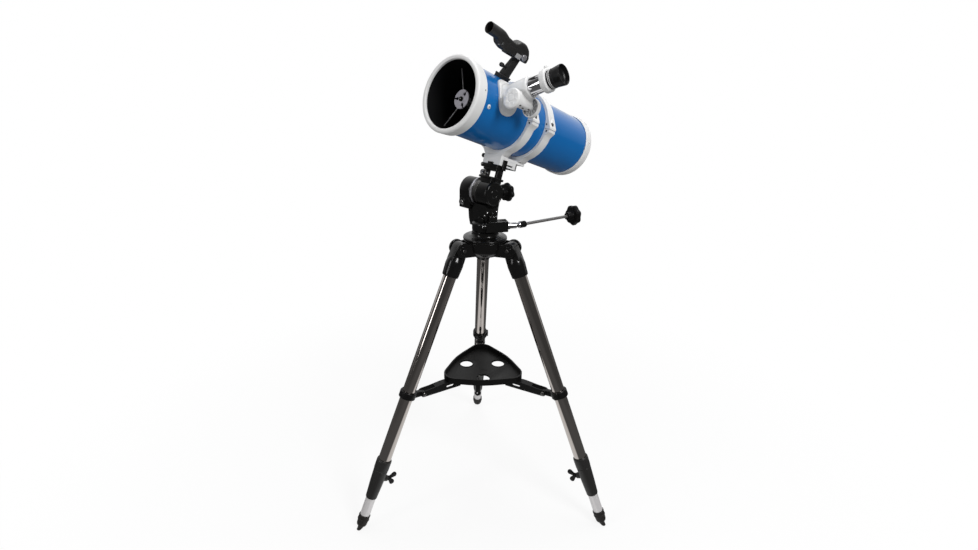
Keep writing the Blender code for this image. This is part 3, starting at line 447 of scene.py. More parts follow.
# Head casting: a turned foot, a pillar that cups the drum, a side arm, a cheek round the setting
# circle, a round boss and the azimuth worm's box with its lid, one black casting. Bright screws and
# plugs close it.
axis_height, worm_height = 0.785, 0.715
head_turn, worm_turn = radians(-136.12), radians(32)
head = spun(stand, head_turn)
altitude = shift(head, z=axis_height)
upright = facing(head, 0, 2)
drum_seat = round_points(0, axis_height, 0.0315, -0.77, 0.77 - pi, 24)
pillar = np.concatenate([[(-0.02, 0.75), (-0.016, 0.715), (0.016, 0.715), (0.02, 0.75)], drum_seat])
side_arm = [(-0.012, 0.706), (0.012, 0.706), (0.0165, 0.724), (0.0185, 0.7485), (-0.0185, 0.7485),
            (-0.0165, 0.724)]
cheek = np.concatenate([round_points(0, axis_height, 0.0362, radians(-150), radians(-14), 32),
                        round_points(0, axis_height, 0.0322, radians(-14), radians(-150), 32)])
worm_box = spun(shift(head, 0.022, 0.0195), pi - worm_turn)
worm_bore = facing(shift(worm_box, z=worm_height), 1, 2)
clutch = facing(shift(head, y=0.004, z=0.7265), 1, 2)
head_boss = shift(head, 0.006, 0.028)
head_parts = [
    turned([(0, 0.7003), (0.029, 0.7003), (0.03, 0.7023), (0.03, 0.718), (0.026, 0.722),
            (0, 0.722)], head, sides=96, ease=0.0015),
    slab(pillar, -0.021, 0.0222, upright, 0.0015),
    slab(eased(side_arm, 0.004, True), 0.0195, 0.0375, upright, 0.002),
    slab(cheek, 0.0165, 0.0222, upright, 0.0008),
    turned([(0, -0.014), (0.0085, -0.014), (0.0085, 0.0205), (0.0075, 0.0215), (0, 0.0215)], clutch,
           sides=48),
    turned([(0, 0.715), (0.0102, 0.715), (0.0102, 0.7376), (0.009, 0.739), (0, 0.739)], head_boss,
           sides=64, ease=0.0008),
    block((0.001, -0.0105, 0.7035), (0.0515, 0.0105, 0.725), worm_box, 0.0012, 0.002),
    block((0.006, -0.0112, 0.724), (0.0505, 0.0112, 0.728), worm_box, 0.0009, 0.002),
    turned([(0, -0.0042), (0.0072, -0.0042), (0.0085, -0.003), (0.0085, 0.004), (0, 0.004)], worm_bore,
           sides=48),
]
skin("head_shape", head_parts, satin_black, "head", ["head_casting"])
nickel = coat("nickel_plate", (0.5, 0.5, 0.5), (0.64, 0.64, 0.635), (0.16, 0.28), 1500, 8e-6,
              {"Metallic": 1.0})
dome_head = [(0, -0.0005), (0.0027, -0.0005), (0.0026, 0.0012), (0.0015, 0.002), (0, 0.0022)]
worm_plug = [(0, -0.0045), (0.005, -0.0045), (0.005, -0.0058), (0.0042, -0.0062), (0.003, -0.0062),
             (0.0026, -0.0052), (0, -0.0052)]
bush = [(0, 0.051), (0.008, 0.051), (0.008, 0.0565), (0.0066, 0.0577), (0.0066, 0.0722), (0, 0.0722)]
skin("head_fixings", [
    turned(dome_head, facing(shift(head, 0.0165, 0.021, 0.7458), 2, 0), sides=32),
    turned(dome_head, facing(shift(head, -0.0128, 0.021, 0.7434), 2, 0), sides=32),
    turned(dome_head, facing(shift(head, 0.0183, 0.0154, 0.7385), 1, 2), sides=32),
    turned(worm_plug, worm_bore, sides=40, ease=0.0003),
    turned(bush, worm_bore, sides=40),
], nickel, "head")
# A dark steel ring, lighter than the black casting, on the boss's top edge: a painted highlight along that
# edge.
boss_highlight_ring = [(0.0078, 0.7384), (0.0101, 0.7384), (0.0099, 0.7395), (0.0078, 0.7397)]
skin("boss_highlight_ring", [turned(boss_highlight_ring, head_boss, sides=64, loop=True, ease=0.0003)], dark_steel, "head")


# Gear case: a round-topped housing beside the drum with a stepped lid, and the altitude worm's tube
# across its foot, closed by a bright ring. Black enamel like the casting it is screwed to.
case = np.concatenate([round_points(0, 0, 0.029, 0, pi, 48), [(-0.029, -0.0362), (0.029, -0.0362)]])
case_line = facing(altitude, 0, 2)
lid = [(0, 0.055), (0.0225, 0.055), (0.0225, 0.0572), (0.0205, 0.0585), (0.017, 0.0585),
       (0.016, 0.0578), (0, 0.0578)]
worm = shift(altitude, y=-0.045, z=-0.025)
tube_line = facing(worm, 1, 2)
worm_tube = [(0, -0.036), (0.009, -0.036), (0.0105, -0.0345), (0.0105, 0.0288), (0.0095, 0.0298),
             (0, 0.0298)]
skin("gear_case", [slab(case, 0.0225, 0.056, case_line, 0.0035), turned(lid, case_line, ease=0.0006),
                   turned(worm_tube, tube_line, ease=0.001)],
     satin_black, "head", ["gear_housing"])
plug_ring = [(0, 0.0294), (0.0056, 0.0294), (0.0056, 0.0306), (0.005, 0.0311), (0.0036, 0.0311),
             (0.0031, 0.0301), (0, 0.0301)]
skin("worm_plug", [turned(plug_ring, tube_line, sides=40, ease=0.0003)], nickel, "head")


# Altitude fine motion: a bright worm shaft with a seven-lobed black knob on its end, fixed by a grub
# screw in the knob's hub.
def star_knob(radius, face, hub_end, at):
    """Seven-lobed knob: (r + d cos 7t) with the lobes fading on its hub and into its dished face."""
    profile = [(0, face - 0.001), (0.006, face - 0.001), (0.0075, face), (radius - 0.0034, face),
               (radius, face - 0.0028), (radius, face - 0.01), (radius - 0.003, face - 0.0128),
               (0.01, face - 0.0132), (0.009, hub_end), (0, hub_end)]
    depth = [0, 0, 0, 0.001, 0.0013, 0.0013, 0.001, 0, 0, 0]
    return turned(profile, at, sides=140, ease=0.0012, flutes=7, depth=depth)


chrome = coat("chrome_plate", (0.7, 0.7, 0.72), (0.82, 0.82, 0.84), (0.05, 0.11), 1200, 4e-6,
              {"Metallic": 1.0})
worm_line = facing(worm, 2, 1)
skin("worm_shaft", [turned(bar(0.004, 0.0205, 0.1075), worm_line, sides=40)], chrome, "altitude_fine",
     ["altitude_shaft"])
skin("altitude_star_knob", [star_knob(0.0216, 0.1265, 0.103, worm_line)], moulded_black,
     "altitude_fine", ["altitude_knob"])
grub = facing(shift(worm_line, z=0.108), 1, 2)
skin("altitude_grub_screw", [turned(bar(0.0018, 0.0085, 0.0097), grub, sides=24)], nickel,
     "altitude_fine")


# Azimuth fine motion: a domed chrome coupling on the worm, a grey rod with its black collar, and the
# same star knob on the rod's end.
rod_start, rod_turn = 0.0738, radians(20)
rod_line = facing(spun(shift(worm_box, rod_start, 0, worm_height), rod_turn), 1, 2)
dome_angle = np.linspace(0, pi / 2, 9)
dome = 0.0068 * np.column_stack([np.sin(dome_angle), 1 - np.cos(dome_angle)])
coupling = np.concatenate([dome, [(0.0068, 0.0092), (0.0063, 0.0096), (0.0063, 0.0104), (0.0068, 0.0108),
                                  (0.0068, 0.0152), (0.0058, 0.0165), (0.0038, 0.0165),
                                  (0.0038, 0.0102), (0, 0.0102)]])
skin("rod_coupling_shape", [turned(coupling, rod_line, sides=48, ease=0.0003)], chrome, "azimuth_fine",
     ["rod_coupling"])
rod_steel = coat("rod_steel", (0.3, 0.29, 0.285), (0.42, 0.41, 0.4), (0.3, 0.42), 900, 1e-5,
                 {"Metallic": 0.8})
skin("slow_rod_shape", [turned(bar(0.0035, 0.0103, 0.155), rod_line, sides=40)], rod_steel,
     "azimuth_fine", ["slow_rod"])
rod_collar = [(0.0062, 0.0062), (0.007, 0.0062), (0.0074, 0.007), (0.0074, 0.0218), (0.0066, 0.0236),
              (0.0034, 0.024), (0.0034, 0.0172), (0.0062, 0.017)]
skin("rod_collar", [turned(rod_collar, rod_line, sides=40, loop=True)], moulded_black, "azimuth_fine")
skin("azimuth_star_knob", [star_knob(0.0232, 0.1755, 0.148, rod_line)], moulded_black, "azimuth_fine",
     ["azimuth_knob"])


# Altitude cradle: the drum on the tilt axis, an open bracket and the saddle plate with its key and near
# jaw, one black casting. The drum's band and the bracket's far post are dark steel, and the silver
# setting circle with its marks sits behind the drum.
elevation = radians(19.15)
forward = head[1][0] * cos(elevation) + np.array([0, 0, sin(elevation)])
tilt = seat(altitude[0], forward, head[1][1])
profile_view = facing(tilt, 1, 2)
drum_line = facing(tilt, 2, 0)
drum = [(0, -0.0435), (0.009, -0.0435), (0.009, -0.0175), (0.0272, -0.0175), (0.028, -0.0167),
        (0.028, 0.0225), (0.0262, 0.0262), (0.0242, 0.027), (0.0232, 0.0258), (0.0105, 0.0258),
        (0.01, 0.0264), (0.0085, 0.0264), (0.0078, 0.0258), (0, 0.0258)]
key = [(-0.0056, 0.062), (0.0056, 0.062), (0.0076, 0.0675), (-0.0076, 0.0675)]
jaw = [(0.024, 0.0542), (0.03, 0.0542), (0.03, 0.0765), (0.0254, 0.0765), (0.0254, 0.062),
       (0.024, 0.062)]
skin("cradle_casting", [
    turned(drum, drum_line, sides=96, ease=0.0012),
    block((-0.017, -0.0135, 0.01), (0.017, 0.0225, 0.034), tilt, 0.0012, 0.003),
    block((-0.0195, -0.0165, 0.0305), (0.0195, 0.0255, 0.0355), tilt, 0.0012, 0.003),
    block((-0.012, 0.017, 0.012), (0.006, 0.025, 0.052), tilt, 0.0005, 0.002),
    block((-0.0121, -0.016, 0.0495), (0.0111, 0.0246, 0.055), tilt, 0.0008, 0.002),
    block((-0.0125, -0.025, 0.0545), (0.0115, 0.025, 0.063), tilt, 0.001, 0.002),
    slab(eased(key, 0.0004, True), -0.0119, 0.0109, profile_view, 0.0004),
    slab(eased(jaw, 0.0006, True), -0.0118, -0.0008, profile_view, 0.0008),
], satin_black, "cradle", ["altitude_cradle"])
drum_hoop = turned(pipe(0.027, 0.02835, -0.016, -0.005), drum_line, sides=96, loop=True, ease=0.0003)
far_post = block((-0.008, -0.015, 0.03), (0.008, -0.008, 0.052), tilt, 0.0005, 0.002)
skin("drum_band", [drum_hoop, far_post], dark_steel, "cradle")
hollow_head = [(0, 0.011), (0.0032, 0.011), (0.0032, 0.0124), (0.0026, 0.013), (0.0018, 0.013),
               (0.0015, 0.0124), (0, 0.0124)]
skin("plate_bolt", [turned(hollow_head, shift(profile_view, -0.0215, 0.0592), sides=32, ease=0.0003)],
     dark_steel, "cradle")
alloy = coat("grey_alloy_turned", (0.46, 0.455, 0.48), (0.58, 0.575, 0.6), (0.26, 0.38), 1800, 1.2e-5,
             {"Metallic": 0.75})
circle = [(0.0097, -0.0215), (0.0306, -0.0215), (0.0312, -0.0209), (0.0312, -0.0184), (0.0306, -0.0178),
          (0.0097, -0.0178)]
skin("setting_circle_shape", [turned(circle, drum_line, sides=120, loop=True, ease=0.0003)], alloy,
     "cradle", ["setting_circle"])
marks = []
for count in range(72):
    mark = spun(drum_line, radians(5 * count))
    length = 0.0022 if count % 6 == 0 else 0.0012
    marks.append(block((0.0308, -0.00018, -0.0184 - length), (0.03128, 0.00018, -0.0184), mark,
                       0.00003, 0.00005))
skin("circle_marks", marks, rubber, "cradle")
saddle_line = facing(shift(tilt, 0.003, 0, 0.0425), 0, 2)
knurl = [(0, 0.006), (0.003, 0.006), (0.003, 0.0165), (0.0056, 0.0165), (0.0064, 0.0172),
         (0.0064, 0.0238), (0.0056, 0.0245), (0, 0.0245)]
skin("saddle_screw_shape", [turned(knurl, saddle_line, sides=160, ease=0.0004, flutes=40,
                                   depth=[0, 0, 0, 0, 0.00022, 0.00022, 0, 0])],
     chrome, "saddle_lock", ["saddle_screw"])


# Dovetail rail: a white enamelled casting that sits on the saddle's key and carries both rings. A
# black stop plate ends the rail, and a black thumbscrew goes in the far side of its front block.
def thumbscrew(shank, foot, neck, radius, top, at, crown=0.0008, sides=96):
    """A plain shank up to the neck and a head r + 0.0002 cos 16t, with a crown's rounding at its top."""
    profile = [(0, foot), (shank, foot), (shank, neck), (radius - 0.0002, neck + 0.0004),
               (radius, neck + 0.0012), (radius, top - crown), (radius - crown + 0.0002, top), (0, top)]
    return turned(profile, at, sides=sides, flutes=16, depth=[0, 0, 0, 0, 0.0002, 0.0002, 0, 0])


white_enamel = coat("white_enamel", (0.76, 0.76, 0.755), (0.83, 0.83, 0.828), (0.26, 0.38), 700, 3e-5,
                    {"Coat Weight": 0.25, "Coat Roughness": 0.12})
tube = shift(tilt, 0.1699, 0, 0.1639)
soften("dovetail_bar", white_enamel, "ota", 0.001)
stop = block((-0.224, -0.0212, -0.102), (-0.2222, 0.0218, -0.0862), tube, 0.0005, 0.0006)
# A thin black strip along the rail's lower near edge: painted shade under the white rail.
rail_edge_shade = block((-0.2225, 0.019, -0.102), (-0.2035, 0.0214, -0.1008), tube, 0.0003, 0.0004)
# A black sheet set just inside the near face where the slot is: painted shade in the slot.
slot_shade = block((-0.211, 0.0193, -0.0969), (-0.19, 0.0203, -0.094), tube, 0.0003, 0.0006)
rail_screw = thumbscrew(0.0024, 0.024, 0.0268, 0.0048, 0.0345,
                        facing(shift(tube, -0.168, 0, -0.085), 0, 2), crown=0.001)
skin("rail_fittings", [stop, rail_edge_shade, slot_shade, rail_screw], moulded_black, "ota")


# Tube rings: two hinged castings in white enamel with rounded edges. A straight fairing runs down to
# the clamp lug on the near side, where a dark bolt is sunk; small dark screws sit in the front faces.
ring_bolt = [(0, -0.0085), (0.0025, -0.0085), (0.0025, 0.0086), (0.0046, 0.0086), (0.0048, 0.0092),
             (0.0048, 0.014), (0.004, 0.0148), (0.0022, 0.0148), (0.002, 0.0128), (0, 0.0128)]
face_screw = [(0, 0.011), (0.0021, 0.011), (0.0021, 0.0118), (0.0016, 0.0122), (0, 0.0122)]
for name, offset in {"front": -0.1735, "rear": -0.2355}.items():
    soften(f"ring_lower_{name}", white_enamel, "ota", 0.0011)
    soften(f"ring_upper_{name}", white_enamel, f"ring_{name}", 0.0011)
    bolt_line = shift(facing(shift(tube, offset), 0, 1), y=0.0775)
    skin(f"ring_bolt_{name}_shape", [turned(ring_bolt, bolt_line, sides=36, ease=0.0003)], dark_steel,
         f"bolt_{name}", [f"ring_bolt_{name}"])
    face = facing(shift(tube, offset), 1, 2)
    skin(f"ring_screw_{name}", [turned(face_screw, shift(face, 0.0776, -0.0046), sides=24, ease=0.0002)],
         dark_steel, "ota")
    skin(f"ring_pin_{name}", [turned(face_screw, shift(face, 0.0738, 0.0098), sides=24, ease=0.0002)],
         dark_steel, f"ring_{name}")


# Optical tube: rolled sheet in deep blue gloss under clear lacquer, matt black inside, with the hole
# that the focuser looks through cut by a drill of that size.
def blue_lacquer():
    """Blue paint with a clear coat; a long, shallow ripple breaks the reflections a little."""
    made, sockets, place = begin("blue_lacquer", {"Coat Weight": 1.0, "Coat Roughness": 0.03,
                                                  "Coat IOR": 1.32, "Specular IOR Level": 0.1})
    cloud = place.noise(5.0, 2.0)
    ripple = place.noise(60.0, 1.0)
    plug(sockets, Base_Color=cloud.blend((0.003, 0.128, 0.405), (0.005, 0.146, 0.445)),
         Normal=place.bump(ripple, 0.5, 2e-5), Roughness=place.noise(30.0) * 0.08 + 0.3)
    return made


inside_black = coat("inside_black", (0.0035, 0.0035, 0.0038), (0.006, 0.006, 0.0066), (0.55, 0.75),
                    2200, 5e-5, {"Specular IOR Level": 0.15})
outer_radius, inner_radius, lining_limit = 0.07, 0.0685, 0.0692
bore = facing(tube, 1, 2)
run = np.linspace(-0.412, -0.004, 103)
wall = np.concatenate([np.column_stack([np.full_like(run, outer_radius), run]),
                       np.column_stack([np.full_like(run, inner_radius), run[::-1]])])
shell = skin("blue_tube", [turned(wall, bore, sides=180, loop=True, ease=0)], blue_lacquer(), "ota",
             ["optical_tube"])
shell.data.materials.append(inside_black)
middles = np.empty(3 * len(shell.data.polygons))
shell.data.polygons.foreach_get("center", middles)
spread = np.linalg.norm(((middles.reshape(-1, 3) - tube[0]) @ tube[1].T)[:, 1:], axis=1)
shell.data.polygons.foreach_set("material_index", (spread < lining_limit).astype(np.int32))

focus_lean, focus_place = radians(22), -0.091
focus = facing(spun(shift(bore, z=focus_place), focus_lean - pi / 2), 2, 0)
around, drill_radius = 160, 0.0203
full_turn = np.linspace(0, tau, around, endpoint=False)
unit_x, unit_y = np.cos(full_turn), np.sin(full_turn)
rim = np.stack([drill_radius * unit_x, drill_radius * unit_y], -1)
ends = [np.column_stack([rim, np.full(around, height)]) @ focus[1] + focus[0] for height in (0.055, 0.08)]
order = np.arange(around)
after = np.roll(order, -1)
sides = np.column_stack([order, after, after + around, order + around]).tolist()
drill = bpy.data.meshes.new("drill")
drill.from_pydata(np.concatenate(ends), [], sides + [order[::-1].tolist(), (order + around).tolist()])
bit = bpy.data.objects.new("drill", drill)
bpy.context.scene.collection.objects.link(bit)
hole = shell.modifiers.new("hole", "BOOLEAN")
hole.object = bit
hole.solver = "EXACT"
drilled = bpy.data.meshes.new_from_object(shell.evaluated_get(bpy.context.evaluated_depsgraph_get()))
shell.modifiers.remove(hole)
shell.data = drilled
bpy.data.objects.remove(bit)


# Front ring and rear cell: white moulded caps pushed over the tube's ends, the front one with a
# rolled lip and the rear one closed behind the mirror. Small screws hold them and tilt the mirror.
white_moulding = coat("white_moulding", (0.77, 0.77, 0.765), (0.82, 0.82, 0.818), (0.3, 0.42),
                      1400, 2e-5, {})
lip = np.concatenate([[(0.0703, -0.025), (0.0746, -0.025), (0.0753, -0.024)],
                      round_points(0.0724, -0.0023, 0.0045, 0, pi / 2, 8),
                      [(0.069, 0.0022), (0.0675, 0.001), (0.0673, -0.0036), (0.0703, -0.0036)]])
skin("front_ring_shape", [turned(lip, bore, sides=180, loop=True, ease=0.0006)], white_moulding, "ota",
     ["front_ring"])
cell = [(0, -0.4185), (0.064, -0.4185), (0.0712, -0.4172), (0.0733, -0.4145), (0.0733, -0.3968),
        (0.0722, -0.3942), (0.0703, -0.394), (0.0703, -0.4123), (0.05, -0.4123), (0.05, -0.3933),
        (0, -0.3933)]
skin("rear_cell_shape", [turned(cell, bore, sides=180, ease=0.001)], white_moulding, "ota",
     ["rear_cell"])
rim_screw = [(0, -0.001), (0.0021, -0.001), (0.0021, 0.0002), (0.0013, 0.0008), (0, 0.0009)]
cap_screws = []
for third in (0, 120, 240):
    for radius, x, lean in ((0.0751, -0.0185, 13), (0.0731, -0.404, 10)):
        spot = facing(shift(spun(bore, radians(lean + third)), radius, 0, x), 1, 2)
        cap_screws.append(turned(rim_screw, spot, sides=24, ease=0.0003))
    for lean, size in ((30, 0.0045), (52, 0.0028)):
        spot = facing(shift(spun(bore, radians(lean + third)), 0.048, 0, -0.4182), 1, 0)
        tilt_screw = [(0, -0.0006), (size, -0.0006), (size, 0.0012), (0.7 * size, 0.0018), (0, 0.0019)]
        cap_screws.append(turned(tilt_screw, spot, sides=32, ease=0.0003))
skin("cap_screws", cap_screws, nickel, "ota")


# Mirrors and spider: the silvered main mirror with its hollow face, and the small flat on a slant-cut
# bar that hangs on three thin vanes behind a pale cap with keyholes. White nuts hold the vanes outside.
silvered = coat("silvered_glass", (0.88, 0.89, 0.9), (0.92, 0.93, 0.94), (0.015, 0.03), 300, 1e-7,
                {"Metallic": 1.0})
# The vanes' light grey stands in for the highlights along their thin edges: painted highlight.
vane_highlight_grey = coat("vane_highlight_grey", (0.4, 0.4, 0.41), (0.5, 0.5, 0.51), (0.26, 0.38), 1500, 1e-5,
                  {"Metallic": 0.5})
cap_alloy = coat("cap_alloy", (0.46, 0.445, 0.5), (0.54, 0.525, 0.58), (0.34, 0.46), 1800, 1.2e-5,
                 {"Metallic": 0.2})
share = np.linspace(1, 0, 13)
dish = np.column_stack([0.057 * share, -0.378 - 0.0017 * (1 - share ** 2)])
mirror = np.concatenate([[(0, -0.393), (0.057, -0.393)], dish])
skin("main_mirror", [turned(mirror, bore, sides=120, ease=0.0002)], silvered, "ota",
     ["primary_mirror"])
nut = [(0, -0.0005), (0.0044, -0.0005), (0.0044, 0.0007), (0.003, 0.0011), (0.0028, 0.0022), (0, 0.0024)]
nut_screw = [(0, 0.0018), (0.0015, 0.0018), (0.0014, 0.0027), (0, 0.0028)]
vanes = [turned(bar(0.009, -0.052, -0.0355), bore, sides=40)]
nuts, nut_screws = [], []
for third in (0, 120, 240):
    blade = spun(bore, radians(third - 6))
    vanes.append(block((0.004, -0.0006, -0.0425), (0.0679, 0.0006, -0.0398), blade, 0.0002, 0.0002))
    nut_line = facing(shift(blade, 0.0698, 0, -0.042), 1, 2)
    nuts.append(turned(nut, nut_line, sides=32, ease=0.0003))
    nut_screws.append(turned(nut_screw, nut_line, sides=24, ease=0.0002))
skin("spider_shape", vanes, vane_highlight_grey, "ota", ["spider"])
skin("vane_nuts", nuts, white_moulding, "ota")
skin("vane_screws", nut_screws, dark_steel, "ota")
soften("spider_cap", cap_alloy, "ota", 0.0003)
soften("secondary_holder", inside_black, "ota", 0.0003)
soften("secondary_mirror", silvered, "ota", 0.0001)
cap_screw = [(0, -0.034), (0.0046, -0.034), (0.0046, -0.0297), (0.0038, -0.029), (0, -0.029)]
skin("cap_centre_screw", [turned(cap_screw, bore, sides=40, ease=0.0003)], inside_black, "ota")
cap_pin = [(0, -0.0294), (0.0016, -0.0294), (0.0015, -0.0282), (0, -0.028)]
skin("cap_centre_pin", [turned(cap_pin, bore, sides=24, ease=0.0003)], nickel, "ota")


# Focuser: a white casting with a curved, square-cornered flange on the tube, a waisted barrel and a
# box for the pinion, closed by dark screws. The chrome drawtube slides in it on its rack.
def curved_row(x, y, radius):
    """Points (x, y, sqrt(R^2 - y^2)): an outline laid on a cylinder along X."""
    return np.stack([x, y, np.sqrt(radius ** 2 - y ** 2)], -1)


pinion_height = 0.1055
room = np.where((np.abs(unit_x) < 0.21) & (unit_y > 0), 0.0204, 0.0176)
plate_x = 0.0278 * np.sign(unit_x) * np.abs(unit_x) ** 0.77
plate_y = 0.036 * np.sign(unit_y) * np.abs(unit_y) ** 0.77
plate = [curved_row(plate_x, plate_y, 0.0702)]
for angle in np.linspace(0, pi / 2, 6):
    drawn_in = 1 - cos(angle)
    plate.append(curved_row(plate_x * (1 - 0.055 * drawn_in), plate_y * (1 - 0.042 * drawn_in),
                            0.0732 + 0.0016 * sin(angle)))
plate += [curved_row(room * unit_x, room * unit_y, radius) for radius in (0.0748, 0.0702)]
flare = eased([(0.0262, 0.066), (0.025, 0.0765), (0.0212, 0.0825), (0.0206, 0.092), (0.0214, 0.1285),
               (0.0202, 0.13)], 0.003)
flare_r, flare_z = flare.T[:, :, None]
outside = np.stack([flare_r * unit_x, flare_r * unit_y, np.broadcast_to(flare_z, (len(flare), around))], -1)
lining = np.stack([np.stack([room * unit_x, room * unit_y, np.full(around, height)], -1)
                   for height in (0.13, 0.066)])
gear_box = eased([(0.006, 0.091), (0.028, 0.093), (0.0345, 0.0995), (0.0345, 0.1115), (0.028, 0.117),
                  (0.006, 0.119)], 0.003, True)
skin("focuser_casting", [
    (np.array(plate) @ focus[1] + focus[0], True, False),
    (np.concatenate([outside, lining]) @ focus[1] + focus[0], True, False),
    slab(gear_box, -0.019, 0.019, facing(focus, 1, 2), 0.002),
], white_enamel, "ota", ["focuser_body"])
cover = facing(shift(focus, y=0.0345, z=pinion_height), 2, 0)
cover_screw = [(0, -0.0004), (0.0021, -0.0004), (0.0021, 0.0006), (0.0014, 0.001), (0, 0.001)]
spots = ((0.0045, 0.0135), (0.0045, -0.0135), (-0.0045, 0.0135), (-0.0045, -0.0135), (0.0, 0.0))
skin("focuser_screws",
     [turned(cover_screw, shift(cover, height, x), sides=24, ease=0.0002) for height, x in spots],
     dark_steel, "ota")
pitch_radius, tooth_count, half_rack = 0.006, 12, 12
pitch = tau * pitch_radius / tooth_count
steps = np.arange(-half_rack, half_rack)[:, None]
teeth_z = (pinion_height + (steps + np.array([0.2, 0.38, 0.62, 0.8])) * pitch).ravel()
teeth_y = np.tile([0.018, 0.0196, 0.0196, 0.018], 2 * half_rack)
rack = np.concatenate([[(0.0166, pinion_height - half_rack * pitch)], np.column_stack([teeth_y, teeth_z]),
                       [(0.0166, pinion_height + half_rack * pitch)]])
skin("drawtube_shape",
     [turned(pipe(0.0161, 0.0173, 0.062, 0.158), focus, sides=96, loop=True, ease=0.0003),
      slab(rack, -0.003, 0.003, facing(focus, 1, 2), 0.0002)],
     chrome, "drawtube", ["drawtube"])


# Focus pinion: twelve teeth on a shaft with a hollow white knob at each end. The knobs' open backs show
# radial ribs between hub and rim, with ribs and backing painted grey as the shade inside the hollow.
axle = shift(focus, y=0.025, z=pinion_height)
pinion = spun(facing(axle, 1, 2), -pi / 2)
flanks = np.array([-0.25, -0.11, 0.11, 0.25])
tooth = (tau * (np.arange(tooth_count)[:, None] + flanks) / tooth_count + pi / 2).ravel()
reach = np.tile([0.0049, 0.0066, 0.0066, 0.0049], tooth_count)
gear = np.column_stack([reach * np.cos(tooth), reach * np.sin(tooth)])
knob = np.array([(0, 0.024), (0.0058, 0.024), (0.0058, 0.0335), (0.0172, 0.0335), (0.0172, 0.0255),
                 (0.019, 0.0255), (0.0195, 0.0345), (0.0176, 0.0364), (0.0082, 0.0368), (0.0078, 0.0361),
                 (0.007, 0.0361), (0.0066, 0.0368), (0, 0.0369)])
knobs = [slab(gear, -0.0036, 0.0036, pinion, 0.0002),
         turned(bar(0.003, -0.03, 0.03), pinion, sides=32)]
ribs = []
for end in (1, -1):
    knobs.append(turned(knob * (1, end), pinion, sides=96, ease=0.0006))
    backing = pipe(0.0056, 0.0174, end * 0.029, end * 0.0338)
    ribs.append(turned(backing, pinion, sides=96, loop=True, ease=0.0001))
    face_low, face_high = sorted((end * 0.0362, end * 0.0371))
    for angle in range(20, 380, 45):
        ridge = spun(pinion, radians(angle))
        knobs.append(block((0.0092, -0.0016, face_low), (0.016, 0.0016, face_high), ridge, 0.0003, 0.001))
    rib_low, rib_high = sorted((end * 0.0262, end * 0.03))
    for angle in range(8, 368, 30):
        spoke = spun(pinion, radians(angle))
        ribs.append(block((0.0054, -0.0005, rib_low), (0.0175, 0.0005, rib_high), spoke, 0.0002, 0.0002))
skin("focus_knobs", knobs, white_moulding, "pinion", ["focus_pinion"])
# Grey for the ribs and backing: painted shade inside the white knobs' hollows.
hollow_shade_grey = coat("hollow_shade_grey", (0.5, 0.505, 0.51), (0.6, 0.605, 0.61), (0.34, 0.48),
                     1600, 2e-5, {})
skin("knob_ribs", ribs, hollow_shade_grey, "pinion")


# Eyepiece end: the white clamp ring with its thumbscrew on the drawtube, and the black eyepiece with
# two thin white bands, a ribbed grip and a flared rubber cup.
clamp = [(0.0161, 0.1583), (0.02, 0.1583), (0.0222, 0.1602), (0.0222, 0.17), (0.0205, 0.172),
         (0.0161, 0.172)]
clamp_screw = thumbscrew(0.002, 0.019, 0.0232, 0.0036, 0.03, facing(shift(focus, z=0.164), 0, 2))
skin("eyepiece_clamp", [turned(clamp, focus, sides=96, loop=True, ease=0.001), clamp_screw],
     white_enamel, "drawtube", ["eyepiece_holder"])
eyepiece = [(0.0125, 0.141), (0.0158, 0.141), (0.0158, 0.1723), (0.0176, 0.1723), (0.018, 0.1735),
            (0.018, 0.185), (0.0186, 0.187), (0.0199, 0.2005), (0.0194, 0.2022), (0.0184, 0.202),
            (0.016, 0.195), (0.0135, 0.193), (0.01, 0.1925), (0, 0.1925), (0, 0.15),
            (0.0125, 0.15)]
grip = np.zeros(len(eyepiece))
grip[4:6] = 0.00018
eyepiece_black = coat("eyepiece_black", (0.003, 0.003, 0.0032), (0.006, 0.006, 0.0062), (0.34, 0.46),
                      2000, 3e-5, {"Specular IOR Level": 0.35})
skin("eyepiece_shape", [turned(eyepiece, focus, sides=192, ease=0.0005, flutes=48, depth=grip)],
     eyepiece_black, "eyepiece", ["eyepiece"])
bands = [turned(pipe(0.0172, 0.0185, low, low + 0.0009), focus, sides=96, loop=True, ease=0.0002)
         for low in (0.1762, 0.179)]
skin("eyepiece_bands", bands, white_moulding, "eyepiece")


# Finder: a red-dot sight on a leaning stem, in grained black moulding. Its body is lofted through rounded
# sections; the front tube holds a tinted window and the side carries a pale plate with a grey dial.
finder_lean = radians(69)
finder = facing(spun(bore, finder_lean - pi / 2), 2, 0)
stem_line = facing(shift(finder, -0.1, 0, 0.0935), 1, 2)
stem = [(-0.0945, 0.0765), (-0.0955, 0.083), (-0.1062, 0.1185), (-0.1212, 0.1185), (-0.1172, 0.083),
        (-0.1172, 0.0765)]
skin("finder_foot", [
    block((-0.118, -0.009, 0.069), (-0.0885, 0.009, 0.0778), finder, 0.001, 0.002),
    block((-0.1185, -0.0105, 0.074), (-0.0895, 0.0105, 0.0778), finder, 0.0008, 0.0015),
    slab(eased(stem, 0.003, True), -0.0058, 0.0058, facing(finder, 0, 2), 0.001),
    thumbscrew(0.0022, 0.0, 0.0095, 0.0042, 0.0178, stem_line, sides=80),
], grained_black, "ota", ["finder_bracket"])
